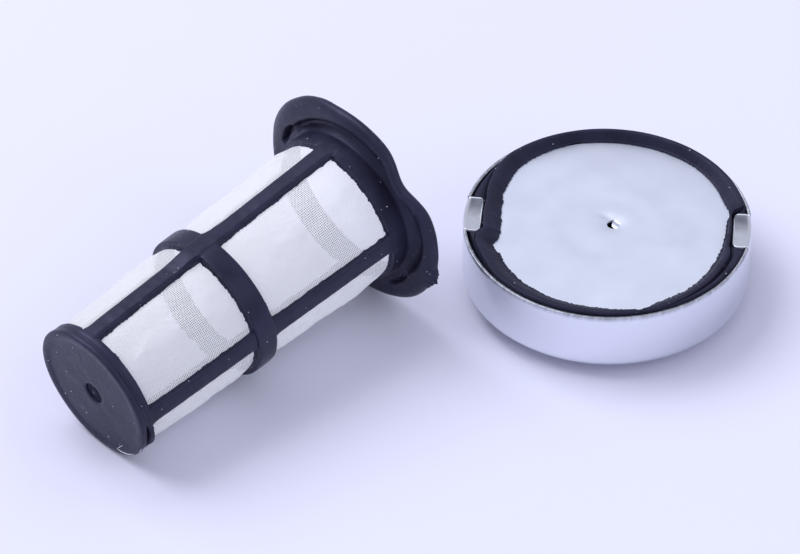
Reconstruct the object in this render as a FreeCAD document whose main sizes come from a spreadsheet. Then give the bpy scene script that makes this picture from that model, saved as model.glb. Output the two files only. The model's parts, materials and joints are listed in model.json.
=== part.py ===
# Fuel tank cap with its strainer, lying side by side as they come out of the bag.
# The cap lies on its crown with its open side up. The strainer lies on its side, resting on
# the edge of its end disc and on the edge of its brim.
# Frame: Z is up, the origin is on the surface under the middle of the cap, and X points along
# the strainer from its small end to its mouth. All sizes are in millimetres.
import FreeCAD, Part
import math
import os
import Sketcher
from FreeCAD import Placement, Rotation, Vector

doc = FreeCAD.newDocument("FuelCapWithStrainer")

# Driving dimensions. Each is written once here and read by name everywhere else.
DIMENSIONS = [
    # Cap shell: one pressing with a skirt, a shallow crown and two ears folded inward
    ("cap_radius", 30.0),
    ("cap_height", 16.5),
    ("shell_sheet", 0.6),
    ("crown_land_radius", 13.0),
    ("crown_rise", 3.0),
    ("crown_corner", 2.0),
    ("ear_length", 10.3),
    ("ear_reach", 4.0),
    ("ear_bend", 0.9),
    ("ear_corner", 1.2),
    ("ear_turn", -49.4),
    # Rubber gasket moulded round the edge of the plate
    ("gasket_side_gap", 0.5),
    ("gasket_wall", 1.4),
    ("gasket_groove_gap", 0.1),
    ("gasket_under", 1.0),
    ("gasket_under_reach", 3.9),
    ("gasket_lip", 0.7),
    ("gasket_lip_reach", 8.4),
    ("gasket_crest", 0.7),
    ("gasket_crest_width", 2.3),
    ("gasket_edge", 0.6),
    ("opening_across", 24.3),
    ("opening_along", 27.1),
    ("opening_aside", 0.56),
    ("band_along", 30.4),
    ("ear_seat_gap", 0.1),
    ("ear_side_gap", 0.4),
    # Baffle plate with its pressed boss and lanced vent
    ("plate_sheet", 0.5),
    ("plate_below_rim", 1.4),
    ("boss_radius", 9.85),
    ("boss_depth", 0.3),
    ("vent_radius", 1.35),
    ("vent_aside", 1.3),
    ("vent_flap_turn", 24.0),
    # Spring between the crown and the plate: one strip pressing with four bent legs
    ("spring_sheet", 0.5),
    ("spring_width", 8.0),
    ("spring_land", 6.5),
    ("spring_hole_radius", 3.4),
    ("spring_foot_radius", 20.0),
    ("spring_toe", 2.4),
    ("spring_seat_gap", 0.1),
    # Strainer frame: end disc, four ribs, middle ring, collar and soft brim in one moulding
    ("end_radius", 15.0),
    ("end_plate", 1.35),
    ("end_edge", 0.35),
    ("end_rim", 1.6),
    ("end_dish", 0.35),
    ("end_groove", 0.4),
    ("end_groove_depth", 0.9),
    ("end_thickness", 3.2),
    ("end_wall", 1.9),
    ("sprue_radius", 2.35),
    ("sprue_depth", 0.9),
    ("sprue_nub", 0.5),
    ("rib_root_radius", 14.85),
    ("rib_thickness", 1.25),
    ("rib_width", 4.0),
    ("rib_turn", -4.5),
    ("ring_start", 31.0),
    ("ring_width", 4.75),
    ("ring_radius", 16.2),
    ("ring_edge", 0.25),
    ("collar_start", 67.6),
    ("collar_radius", 17.0),
    ("collar_length", 2.6),
    ("collar_undercut", 0.35),
    ("brim_rise", 4.9),
    ("brim_reach", 7.0),
    ("brim_thickness", 2.7),
    ("brim_crease", 1.0),
    # Woven sleeve inside the frame
    ("mesh_sheet", 0.35),
    ("mesh_seat_gap", 0.02),
    ("mesh_bulge", 0.055),
    ("mesh_shoulder", 1.6),
    ("mesh_bar", 1.3),
    # Place of the strainer's small end beside the cap, held off the table by its moulding flash
    ("strainer_rest_gap", 0.08),
    ("strainer_aside_x", -110.6),
    ("strainer_aside_y", 35.6),
]

# Sizes that follow from the driving dimensions, so that pieces that seat on each other stay together
FOLLOWING = [
    ("skirt_inside", "=cap_radius - shell_sheet"),
    ("crown_slope", "=crown_rise / (cap_radius - crown_land_radius)"),
    ("crown_lean", "=atan(crown_slope) / 1 deg"),
    ("corner_centre", "=crown_rise + crown_corner * (1 / cos(crown_lean) - tan(crown_lean))"),
    ("ear_inner_edge", "=cap_radius - ear_reach"),
    ("ear_underside", "=cap_height - shell_sheet"),
    ("plate_top", "=cap_height - plate_below_rim"),
    ("plate_under", "=plate_top - plate_sheet"),
    ("boss_under", "=plate_under - boss_depth"),
    ("gasket_outside", "=skirt_inside - gasket_side_gap"),
    ("groove_radius", "=gasket_outside - gasket_wall"),
    ("plate_radius", "=groove_radius - gasket_groove_gap"),
    ("crest_top", "=cap_height + gasket_crest"),
    ("flange_top", "=ear_underside - ear_seat_gap"),
    ("band_across", "=ear_inner_edge - ear_side_gap"),
    ("spring_centre", "=boss_under - spring_sheet / 2"),
    ("spring_foot", "=shell_sheet + (spring_foot_radius - crown_land_radius) * crown_slope"
                    " + spring_sheet * 0.75 + spring_seat_gap"),
    ("taper", "=(collar_radius - rib_root_radius) / (collar_start - end_thickness)"),
    ("ring_end", "=ring_start + ring_width"),
    ("collar_end", "=collar_start + collar_length"),
    ("brim_height", "=collar_start + brim_rise"),
    ("brim_radius", "=collar_radius + brim_reach"),
]

sheet = doc.addObject("Spreadsheet::Sheet", "Sizes")
for row, (alias, content) in enumerate(DIMENSIONS + FOLLOWING, start=1):
    sheet.set("A%d" % row, alias)
    sheet.set("B%d" % row, str(content))
    sheet.setAlias("B%d" % row, alias)
doc.recompute()
size = {alias: float(sheet.get(alias)) for alias, content in DIMENSIONS + FOLLOWING}


def formula(text):
    """Turns names in angle brackets into references to the sheet's cells."""
    return text.replace("<", "Sizes.").replace(">", "")


def new_body(name):
    body = doc.addObject("PartDesign::Body", name)
    body.Label = name
    return body


def new_sketch(body, name, role="XZ_Plane", lift=None):
    """A sketch on one of the body's own origin planes, lifted off it by a formula."""
    plane = next(part for part in body.Origin.OriginFeatures if part.Role == role)
    sketch = body.newObject("Sketcher::SketchObject", name)
    sketch.AttachmentSupport = [(plane, "")]
    sketch.MapMode = "FlatFace"
    if lift:
        sketch.setExpression("AttachmentOffset.Base.z", formula(lift))
    return sketch


def bind(sketch, constraint, text):
    index = sketch.addConstraint(constraint)
    sketch.setExpression("Constraints[%d]" % index, formula(text))


def outline(sketch, corners, closed=True):
    """An outline of straight runs; each corner is a pair of formulas (x, y)."""
    count = len(corners)
    runs = count if closed else count - 1
    first = sketch.GeometryCount
    # The solver starts from a plain ring of points and moves each to its own formulas
    start = [Vector(math.cos(2 * math.pi * i / count), math.sin(2 * math.pi * i / count), 0)
             for i in range(count)]
    for i in range(runs):
        sketch.addGeometry(Part.LineSegment(start[i], start[(i + 1) % count]), False)
    for i in range(runs if closed else runs - 1):
        sketch.addConstraint(Sketcher.Constraint("Coincident", first + i, 2, first + (i + 1) % runs, 1))
    for i, (x, y) in enumerate(corners):
        line, end = (first + i, 1) if i < runs else (first + i - 1, 2)
        bind(sketch, Sketcher.Constraint("DistanceX", -1, 1, line, end, start[i].x), x)
        bind(sketch, Sketcher.Constraint("DistanceY", -1, 1, line, end, start[i].y), y)


def circle(sketch, radius, x="0", y="0"):
    index = sketch.addGeometry(Part.Circle(Vector(1, 1, 0), Vector(0, 0, 1), 5.0), False)
    bind(sketch, Sketcher.Constraint("Radius", index, 5.0), radius)
    bind(sketch, Sketcher.Constraint("DistanceX", -1, 1, index, 3, 1.0), x)
    bind(sketch, Sketcher.Constraint("DistanceY", -1, 1, index, 3, 1.0), y)


def revolve(body, sketch, name):
    feature = body.newObject("PartDesign::Revolution", name)
    feature.Profile = sketch
    feature.ReferenceAxis = (sketch, ["V_Axis"])
    feature.Angle = 360.0
    doc.recompute()
    return feature


def pocket(body, sketch, name, depth, upward):
    """Cuts a sketch into the body for a given depth, along or against the body's Z."""
    before = body.Shape.Volume
    feature = body.newObject("PartDesign::Pocket", name)
    feature.Profile = sketch
    feature.Type = 0
    feature.setExpression("Length", formula(depth))
    feature.Reversed = upward
    doc.recompute()
    if feature.Shape.isNull() or feature.Shape.Volume > before - 1e-6:
        raise RuntimeError(name + " cuts nothing")
    return feature


def chamfer(body, name, width, wanted):
    """Breaks the edges of the body's tip that the test function picks."""
    base = body.Tip
    names = ["Edge%d" % (i + 1) for i, edge in enumerate(base.Shape.Edges) if wanted(edge)]
    if not names:
        raise RuntimeError(name + " finds no edge")
    feature = body.newObject("PartDesign::Chamfer", name)
    feature.Base = (base, names)
    feature.setExpression("Size", formula(width))
    doc.recompute()
    if feature.Shape.isNull():
        raise RuntimeError(name + " fails")
    return feature


def is_ring(edge, radius, height, slack=0.02):
    """True for a full circle about Z of this radius at this height."""
    curve = edge.Curve
    if not isinstance(curve, Part.Circle) or len(edge.Vertexes) > 1:
        return False
    return abs(curve.Radius - radius) < slack and abs(curve.Center.z - height) < slack


def solid_feature(name, shape):
    feature = doc.addObject("Part::Feature", name)
    feature.Label = name
    feature.Shape = shape
    return feature


def binary(kind, name, base, tool):
    feature = doc.addObject(kind, name)
    feature.Label = name
    feature.Base = base
    feature.Tool = tool
    doc.recompute()
    return feature


ear_place = Placement(Vector(0, 0, 0), Rotation(Vector(0, 0, 1), size["ear_turn"]))
pin_angle = math.asin(size["rib_width"] / 2 / (size["rib_root_radius"] - size["rib_thickness"]))


def make_cup():
    """The pressed cup: crown, rounded corner and skirt with a raw rim, notched at the ears."""
    cup = new_body("cap_cup")
    section = new_sketch(cup, "cup_section")
    floor = "<shell_sheet>"
    # The corner is drawn as the sheet's own bend, in short straight facets of equal turn
    outside, inside = [], []
    turns = 3
    for i in range(turns + 1):
        angle = "(<crown_lean> + (90 - <crown_lean>) * %d / %d)" % (i, turns)
        for corner, bend in ((outside, "<crown_corner>"), (inside, "(<crown_corner> - <shell_sheet>)")):
            corner.append(("<cap_radius> - <crown_corner> + %s * sin(%s)" % (bend, angle),
                           "<corner_centre> - %s * cos(%s)" % (bend, angle)))
    outline(section, [("0", "0"), ("<crown_land_radius>", "0")]
            + outside
            + [("<cap_radius>", "<cap_height>"), ("<skirt_inside>", "<cap_height>")]
            + inside[::-1]
            + [("<crown_land_radius>", floor), ("0", floor)])
    revolve(cup, section, "cup")
    notches = new_sketch(cup, "notch_outline", "XY_Plane", "<cap_height> - <ear_bend>")
    reach = "(<cap_radius> + <ear_reach>)"
    outline(notches, [
        ("-" + reach, "-<ear_length> / 2"),
        (reach, "-<ear_length> / 2"),
        (reach, "<ear_length> / 2"),
        ("-" + reach, "<ear_length> / 2"),
    ])
    pocket(cup, notches, "notches", "2 * <ear_bend>", True)
    cup.Placement = ear_place
    return cup


def ear_solid():
    """One ear on +X: the skirt's sheet bent inward over a small radius, with round corners."""
    bend, thick = size["ear_bend"], size["shell_sheet"]
    outer, top = size["cap_radius"], size["cap_height"]
    inner_edge = size["ear_inner_edge"]
    centre = Vector(outer - bend, 0, top - bend)

    def on_bend(radius, degrees):
        angle = math.radians(degrees)
        return centre + Vector(radius * math.cos(angle), 0, radius * math.sin(angle))

    outside = [on_bend(bend, a) for a in (0, 30, 60, 90)]
    inside = [on_bend(bend - thick, a) for a in (90, 45, 0)]
    tip = [Vector(inner_edge, 0, top), Vector(inner_edge, 0, top - thick)]
    section = Part.Face(Part.makePolygon(outside + tip + inside + outside[:1]))
    width = size["ear_length"]
    sweep = 2 * math.degrees(math.asin(width / 2 / inner_edge)) + 4
    section.rotate(Vector(0, 0, 0), Vector(0, 0, 1), -sweep / 2)
    swept = section.revolve(Vector(0, 0, 0), Vector(0, 0, 1), sweep)
    # The blank's outline in plan: a straight inner edge with rounded corners
    blank = Part.makeBox(outer, width, 2 * bend, Vector(inner_edge, -width / 2, top - bend))
    corners = [edge for edge in blank.Edges
               if abs(edge.CenterOfMass.x - inner_edge) < 1e-6
               and abs(abs(edge.CenterOfMass.y) - width / 2) < 1e-6]
    return swept.common(blank.makeFillet(size["ear_corner"], corners))


def make_cap_shell():
    """Cup and two opposite ears as one pressing."""
    ears = []
    for turn in (0, 180):
        ear = ear_solid()
        ear.rotate(Vector(0, 0, 0), Vector(0, 0, 1), turn + size["ear_turn"])
        ears.append(ear)
    return binary("Part::Fuse", "cap_shell", make_cup(), solid_feature("ears", Part.makeCompound(ears)))


def make_cap_plate():
    """The baffle plate: a flat disc with a shallow round boss and a lanced vent."""
    blank = new_body("plate_blank")
    section = new_sketch(blank, "plate_section")
    outline(section, [
        ("0", "<boss_under>"),
        ("<boss_radius>", "<boss_under>"),
        ("<boss_radius> + 2 * <boss_depth>", "<plate_under>"),
        ("<plate_radius>", "<plate_under>"),
        ("<plate_radius>", "<plate_top>"),
        ("<boss_radius> + 2 * <boss_depth>", "<plate_top>"),
        ("<boss_radius>", "<plate_top> - <boss_depth>"),
        ("0", "<plate_top> - <boss_depth>"),
    ])
    revolve(blank, section, "disc")
    vent = new_sketch(blank, "vent_outline", "XY_Plane", "<plate_top>")
    circle(vent, "<vent_radius>", "<vent_aside>")
    pocket(blank, vent, "vent", "2 * <plate_sheet> + <boss_depth>", False)
    blank.Placement = ear_place
    # The lanced tongue stays on along a chord and dips into the cap
    radius, thick = size["vent_radius"], size["plate_sheet"]
    surface = size["plate_top"] - size["boss_depth"]
    middle = size["vent_aside"]
    tongue = Part.makeCylinder(radius * 0.86, thick, Vector(middle, 0, surface - thick))
    hinge = Vector(middle + radius * 0.75, 0, surface)
    tongue.rotate(hinge, Vector(0, 1, 0), -size["vent_flap_turn"])
    root = Part.makeBox(radius, 1.2 * radius, thick,
                        Vector(hinge.x - 0.45 * radius, -0.6 * radius, surface - thick))
    flap = tongue.fuse(root).removeSplitter()
    flap.rotate(Vector(0, 0, 0), Vector(0, 0, 1), size["ear_turn"])
    return binary("Part::Fuse", "cap_plate", blank, solid_feature("vent_flap", flap))


# Bumps and nicks of the gasket's torn edge, as (degrees from the first ear, depth, half width)
BUMPS = [(175.0, -1.8, 15.0), (-130.0, 0.6, 20.0), (73.0, -0.6, 18.0), (107.0, 0.5, 7.0), (-38.0, -0.35, 14.0)]
NICKS = [(12.4, 1.1, 6.0), (-73.8, 1.4, 4.5), (202.5, 0.9, 5.5)]
# Waves of the torn edge, as (waves round the edge, height, shift)
FLASH = [(23, 0.10, 0.0), (37, 0.08, 2.0)]
TORN_POINTS = 96


def degrees_apart(angle, direction):
    """How far an angle in radians is from a direction in degrees, round the shorter way."""
    return abs((math.degrees(angle) - direction + 180) % 360 - 180)


def torn_radius(angle):
    """Radius of the gasket's torn inner edge: an oval with flash and three deep nicks."""
    across, along = size["opening_across"], size["opening_along"]
    radius = across * along / math.hypot(along * math.cos(angle), across * math.sin(angle))
    for waves, height, shift in FLASH:
        radius += height * math.sin(waves * angle + shift)
    for direction, depth, half_width in BUMPS:
        radius += depth * math.exp(-(degrees_apart(angle, direction) / half_width) ** 2)
    for direction, depth, half_width in NICKS:
        radius += depth * max(0.0, 1 - degrees_apart(angle, direction) / half_width)
    return radius


def make_cap_gasket():
    """The rubber ring: a channel round the plate's edge, a torn inner lip and two ear seats."""
    ring = new_body("gasket_ring")
    section = new_sketch(ring, "ring_section")
    bottom = "<plate_under> - <gasket_under>"
    crest_inside = "<gasket_outside> - <gasket_crest_width>"
    lip_top = "<plate_top> + <gasket_lip>"
    outline(section, [
        ("<gasket_outside> - <gasket_under_reach>", bottom),
        ("<gasket_outside>", bottom),
        ("<gasket_outside>", "<crest_top> - <gasket_edge>"),
        ("<gasket_outside> - <gasket_edge>", "<crest_top>"),
        (crest_inside, "<crest_top>"),
        (crest_inside + " - <gasket_edge>", "<crest_top> - 0.4 * <gasket_edge>"),
        (crest_inside + " - <gasket_crest_width>", lip_top),
        ("<gasket_outside> - <gasket_lip_reach>", lip_top),
        ("<gasket_outside> - <gasket_lip_reach>", "<plate_top>"),
        ("<groove_radius>", "<plate_top>"),
        ("<groove_radius>", "<plate_under>"),
        ("<gasket_outside> - <gasket_under_reach>", "<plate_under>"),
    ])
    revolve(ring, section, "ring")
    ring.Placement = ear_place
    clear = 5.0
    # Everything outside an oval is low enough to lie under the ears
    outer = Part.makeCylinder(size["cap_radius"] + clear, clear, Vector(0, 0, size["flange_top"]))
    oval = Part.Ellipse(Vector(0, 0, size["flange_top"]), size["band_along"], size["band_across"])
    oval_face = Part.Face(Part.Wire(oval.toShape()))
    oval_face.rotate(Vector(0, 0, 0), Vector(0, 0, 1), 90)
    seats = outer.cut(oval_face.extrude(Vector(0, 0, clear)))
    # The torn inner edge of the lip, cut down to the plate
    points = []
    for i in range(TORN_POINTS):
        angle = 2 * math.pi * i / TORN_POINTS
        radius = torn_radius(angle)
        points.append(Vector(size["opening_aside"] + radius * math.cos(angle),
                             radius * math.sin(angle), size["plate_top"]))
    opening = Part.Face(Part.makePolygon(points + points[:1])).extrude(Vector(0, 0, clear))
    cutter = solid_feature("gasket_cutter", Part.makeCompound([seats, opening]))
    cutter.Placement = ear_place
    return binary("Part::Cut", "cap_gasket", ring, cutter)


def make_plate_spring():
    """The leaf spring between crown and plate: four legs bent out of one strip."""
    spring = new_body("plate_spring")
    path = new_sketch(spring, "leg_path", "XZ_Plane")
    outline(path, [
        ("0", "<spring_centre>"),
        ("<spring_land>", "<spring_centre>"),
        ("<spring_foot_radius>", "<spring_foot>"),
        ("<spring_foot_radius> + <spring_toe>", "<spring_foot> + <spring_toe> / 2"),
    ], closed=False)
    strip = new_sketch(spring, "strip_section", "YZ_Plane")
    half_width = "<spring_width> / 2"
    top, bottom = "<boss_under>", "<boss_under> - <spring_sheet>"
    outline(strip, [("-" + half_width, bottom), (half_width, bottom), (half_width, top), ("-" + half_width, top)])
    doc.recompute()
    leg = spring.newObject("PartDesign::AdditivePipe", "leg")
    leg.Profile = strip
    leg.Spine = path
    leg.Transition = 1
    doc.recompute()
    legs = spring.newObject("PartDesign::PolarPattern", "legs")
    legs.Originals = [leg]
    legs.Axis = (path, ["V_Axis"])
    legs.Angle = 360.0
    legs.Occurrences = 4
    spring.Tip = legs
    doc.recompute()
    # The vent's tongue dips into this hole
    hole = new_sketch(spring, "hole_outline", "XY_Plane", top)
    circle(hole, "<spring_hole_radius>")
    pocket(spring, hole, "vent_hole", "2 * <spring_sheet>", False)
    spring.Placement = ear_place
    return spring


def quad_faces(a, b, c, d):
    """One flat face where the four corners share a plane, or else two triangles."""
    normal = (b - a).cross(c - a)
    off_plane = abs(normal.normalize().dot(d - a))
    corner_sets = [(a, b, c, d)] if off_plane < 1e-9 else [(a, b, c), (a, c, d)]
    return [Part.Face(Part.makePolygon(list(corners) + [corners[0]])) for corners in corner_sets]


def frame_inside(height):
    """Inner radius of the ribs, which lie on one cone from the end disc to the mouth."""
    return size["rib_root_radius"] + size["taper"] * (height - size["end_thickness"]) - size["rib_thickness"]


def make_frame_body():
    """End disc, ribs, middle ring and collar as one turned section with eight windows."""
    frame = new_body("strainer_cage")
    section = new_sketch(frame, "cage_section")

    def outside(height):
        return "<rib_root_radius> + <taper> * (%s - <end_thickness>)" % height

    def inside(height):
        return outside(height) + " - <rib_thickness>"

    groove_end = "(<end_plate> + <end_groove>)"
    wall_end = "(<brim_height>)"
    outline(section, [
        ("0", "<end_dish> + <sprue_nub> / 2"),
        ("<sprue_nub>", "<end_dish> + <sprue_nub> / 2"),
        ("2 * <sprue_nub>", "<sprue_depth> + <end_dish>"),
        ("<sprue_radius>", "<sprue_depth> + <end_dish>"),
        ("<sprue_radius>", "<end_dish>"),
        ("<end_radius> - <end_rim> - 2 * <end_dish>", "<end_dish>"),
        ("<end_radius> - <end_rim>", "0"),
        ("<end_radius>", "0"),
        ("<end_radius>", "<end_plate>"),
        ("<end_radius> - <end_groove_depth>", "<end_plate>"),
        ("<end_radius> - <end_groove_depth>", groove_end),
        ("<rib_root_radius> - <end_edge>", groove_end),
        ("<rib_root_radius>", groove_end + " + <end_edge>"),
        ("<rib_root_radius>", "<end_thickness>"),
        (outside("<ring_start>"), "<ring_start>"),
        ("<ring_radius> - <ring_edge>", "<ring_start>"),
        ("<ring_radius>", "<ring_start> + <ring_edge>"),
        ("<ring_radius>", "<ring_end> - <ring_edge>"),
        ("<ring_radius> - <ring_edge>", "<ring_end>"),
        (outside("<ring_end>"), "<ring_end>"),
        ("<collar_radius>", "<collar_start>"),
        ("<collar_radius>", "<collar_end>"),
        ("<collar_radius> - <collar_undercut>", "<collar_end>"),
        ("<collar_radius> - <collar_undercut>", wall_end),
        (inside(wall_end), wall_end),
        (inside("<end_wall>"), "<end_wall>"),
        ("0", "<end_wall>"),
    ])
    revolve(frame, section, "cage")
    front, back = 0.0, size["end_plate"]
    chamfer(frame, "end_disc_edges", "<end_edge>",
            lambda edge: is_ring(edge, size["end_radius"], front) or is_ring(edge, size["end_radius"], back))
    for name, low, high in (("lower", "<end_thickness>", "<ring_start>"),
                            ("upper", "<ring_end>", "<collar_start>")):
        squares = new_sketch(frame, name + "_window_outlines", "XY_Plane", low)
        near, far = "<rib_width> / 2", "<ring_radius> + <rib_width>"
        for sx, sy in ((1, 1), (-1, 1), (-1, -1), (1, -1)):
            x0, x1 = ("%d * (%s)" % (sx, value) for value in (near, far))
            y0, y1 = ("%d * (%s)" % (sy, value) for value in (near, far))
            outline(squares, [(x0, y0), (x1, y0), (x1, y1), (x0, y1)])
        pocket(frame, squares, name + "_windows", high + " - " + low, True)
    frame.Placement = Placement(Vector(0, 0, 0), Rotation(Vector(0, 0, 1), size["rib_turn"]))
    return frame


# Waves of the soft brim's edge, as (direction, half width in degrees, rise, change of radius).
# Directions count from the top of the lying strainer, towards its right seen from the small end.
BRIM_WAVES = [(49, 13, -1.8, -1.1), (-53, 22, -0.8, 0.0), (128, 25, -0.4, 0.2)]
BRIM_LEAN = 0.9
BRIM_LEAN_DIRECTION = 39.0
BRIM_COLUMNS = 60


def brim_wave(angle):
    """Axial and radial shift of the brim's edge at one direction, in degrees."""
    rise = BRIM_LEAN * math.cos(math.radians(angle - BRIM_LEAN_DIRECTION))
    wide = 0.0
    for direction, half_width, lift, spread in BRIM_WAVES:
        away = ((angle - direction + 180) % 360 - 180) / half_width
        bump = math.exp(-away * away)
        rise += lift * bump
        wide += spread * bump
    return rise, wide


def make_brim():
    """The brim as one closed ring whose edge leans, dips and waves round the mouth."""
    edge, collar = size["brim_radius"], size["collar_radius"]
    middle, half = size["brim_height"], size["brim_thickness"] / 2
    wall = frame_inside(middle)
    buried = wall + 0.35 * (collar - wall)
    root = collar + size["brim_crease"]
    span = edge - collar
    # The section starts and ends inside the collar's wall
    section = [
        (buried, middle - 0.6 * half),
        (buried, middle - 0.3 * half),
        (collar - 0.1, middle + 0.6 * half),
        (collar + 0.25 * span, middle + 0.95 * half),
        (collar + 0.60 * span, middle + 1.0 * half),
        (collar + 0.90 * span, middle + 0.7 * half),
        (edge, middle + 0.1 * half),
        (edge - 0.05 * span, middle - 0.6 * half),
        (collar + 0.72 * span, middle - 1.0 * half),
        (collar + 0.48 * span, middle - 0.85 * half),
        (root + 0.3, middle - 0.2 * half),
        (collar - 0.5, middle - 0.3 * half),
    ]
    columns = []
    for i in range(BRIM_COLUMNS):
        angle = 360.0 * i / BRIM_COLUMNS
        rise, wide = brim_wave(angle)
        column = []
        for radius, height in section:
            share = min(1.0, max(0.0, (radius - root) / (edge - root)))
            share = share * share * (3 - 2 * share)
            reach = radius + wide * share
            column.append(Vector(reach * math.cos(math.radians(angle)),
                                 reach * math.sin(math.radians(angle)),
                                 height + rise * share))
        columns.append(column)
    faces = []
    for i, column in enumerate(columns):
        beside = columns[(i + 1) % len(columns)]
        for k in range(len(column)):
            above = (k + 1) % len(column)
            faces += quad_faces(column[k], beside[k], beside[above], column[above])
    solid = Part.Solid(Part.Shell(faces))
    if solid.Volume < 0:
        solid.reverse()
    return solid


def resting_tilt(shape):
    """Tilt and lift with which the lying strainer touches the surface at disc and brim."""
    points, _ = shape.tessellate(0.02)
    disc = [p for p in points if p.z < size["ring_start"]]
    brim = [p for p in points if p.z > size["ring_start"]]

    def lowest(group, tilt):
        return min(p.z * math.sin(tilt) + p.x * math.cos(tilt) for p in group)

    low, high = 0.0, math.radians(30)
    for _ in range(50):
        tilt = (low + high) / 2
        if lowest(brim, tilt) < lowest(disc, tilt):
            low = tilt
        else:
            high = tilt
    return tilt, -min(lowest(brim, tilt), lowest(disc, tilt))


def lying_placement(tilt, lift):
    """Local Z goes along the strainer and local X goes up: the pose beside the cap."""
    along = Vector(math.cos(tilt), 0, math.sin(tilt))
    upward = Vector(-math.sin(tilt), 0, math.cos(tilt))
    turn = Rotation(upward, along.cross(upward), along, "ZXY")
    return Placement(Vector(size["strainer_aside_x"], size["strainer_aside_y"], lift), turn)


MESH_ALONG, MESH_AROUND = 5, 3
mesh_column = (math.pi / 2 - 2 * pin_angle) / MESH_AROUND


def mesh_ring(height, swell, inset):
    """Corners of the sleeve at one height: pinned behind the ribs, swelling in the windows."""
    radius = frame_inside(height) - size["mesh_seat_gap"]
    ring = []
    for quarter in range(4):
        for column in range(MESH_AROUND + 1):
            pinned = column in (0, MESH_AROUND)
            angle = quarter * math.pi / 2 + pin_angle + column * mesh_column
            reach = radius * (1.0 if pinned else 1.0 + swell) - inset
            ring.append(Vector(reach * math.cos(angle), reach * math.sin(angle), height))
    return ring


def window_rows():
    """Lower and upper ends of the two rows of windows."""
    return [(size["end_thickness"], size["ring_start"]), (size["ring_end"], size["collar_start"])]


def make_strainer_mesh():
    """The woven sleeve: a thin wall behind the ribs, open in a grid in each window."""
    shoulder, swell = size["mesh_shoulder"], size["mesh_bulge"]
    stations = [(size["end_wall"], 0.0)]
    for low, high in window_rows():
        stations += [(low, 0.0), (low + shoulder, swell), (high - shoulder, swell), (high, 0.0)]
    stations.append((size["collar_end"], 0.0))
    outer = [mesh_ring(height, bulge, 0.0) for height, bulge in stations]
    inner = [mesh_ring(height, bulge, size["mesh_sheet"]) for height, bulge in stations]
    faces = []
    count = len(outer[0])
    for i in range(count):
        j = (i + 1) % count
        for k in range(len(stations) - 1):
            faces += quad_faces(outer[k][i], outer[k][j], outer[k + 1][j], outer[k + 1][i])
            faces += quad_faces(inner[k][i], inner[k + 1][i], inner[k + 1][j], inner[k][j])
        faces += quad_faces(outer[0][i], inner[0][i], inner[0][j], outer[0][j])
        faces += quad_faces(outer[-1][i], outer[-1][j], inner[-1][j], inner[-1][i])
    wall = Part.Solid(Part.Shell(faces))
    if wall.Volume < 0:
        wall.reverse()
    gaps = []
    bar = size["mesh_bar"]
    for low, high in window_rows():
        pitch = (high - low) / MESH_ALONG
        for along in range(MESH_ALONG):
            height = low + (along + 0.5) * pitch
            radius = frame_inside(height)
            half = radius * math.sin(mesh_column / 2) - bar / 2
            for quarter in range(4):
                for column in range(MESH_AROUND):
                    angle = quarter * math.pi / 2 + pin_angle + (column + 0.5) * mesh_column
                    gap = Part.makeBox(bar * 3, 2 * half, pitch - bar,
                                       Vector(radius - 1.5 * bar, -half, height - (pitch - bar) / 2))
                    gap.rotate(Vector(0, 0, 0), Vector(0, 0, 1), math.degrees(angle))
                    gaps.append(gap)
    return wall.cut(Part.makeCompound(gaps))


cap_shell = make_cap_shell()
cap_plate = make_cap_plate()
cap_gasket = make_cap_gasket()
plate_spring = make_plate_spring()
strainer_frame = binary("Part::Fuse", "strainer_frame", make_frame_body(), solid_feature("brim", make_brim()))
tilt, lift = resting_tilt(strainer_frame.Shape)
lying = lying_placement(tilt, lift)
strainer_frame.Placement = lying
lying.Base.z += size["strainer_rest_gap"] - strainer_frame.Shape.optimalBoundingBox().ZMin
strainer_frame.Placement = lying
strainer_mesh = solid_feature("strainer_mesh", make_strainer_mesh())
strainer_mesh.Placement = lying.multiply(Placement(Vector(0, 0, 0), Rotation(Vector(0, 0, 1), size["rib_turn"])))
doc.recompute()

for item in doc.Objects:
    if "Invalid" in item.State or "Error" in item.State:
        raise RuntimeError("%s failed: %s" % (item.Label, item.State))

os.makedirs("parts", exist_ok=True)
for node in (cap_shell, cap_plate, cap_gasket, plate_spring, strainer_frame, strainer_mesh):
    shape = node.Shape
    if shape.isNull() or not shape.isValid():
        raise RuntimeError(node.Label + " has no valid shape")
    shape.exportStep("parts/%s.step" % node.Label)
    box = shape.optimalBoundingBox()
    print("%-16s %d solid %8.2f mm3  x %7.2f %7.2f  y %7.2f %7.2f  z %6.3f %6.3f" % (
        node.Label, len(shape.Solids), shape.Volume, box.XMin, box.XMax, box.YMin, box.YMax, box.ZMin, box.ZMax))
print("strainer tilt %.3f degrees, disc centre %.3f mm up" % (math.degrees(tilt), lying.Base.z))
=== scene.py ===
import json
import math

import bmesh
import bpy
import numpy as np
from mathutils import Matrix, Vector, noise


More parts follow.
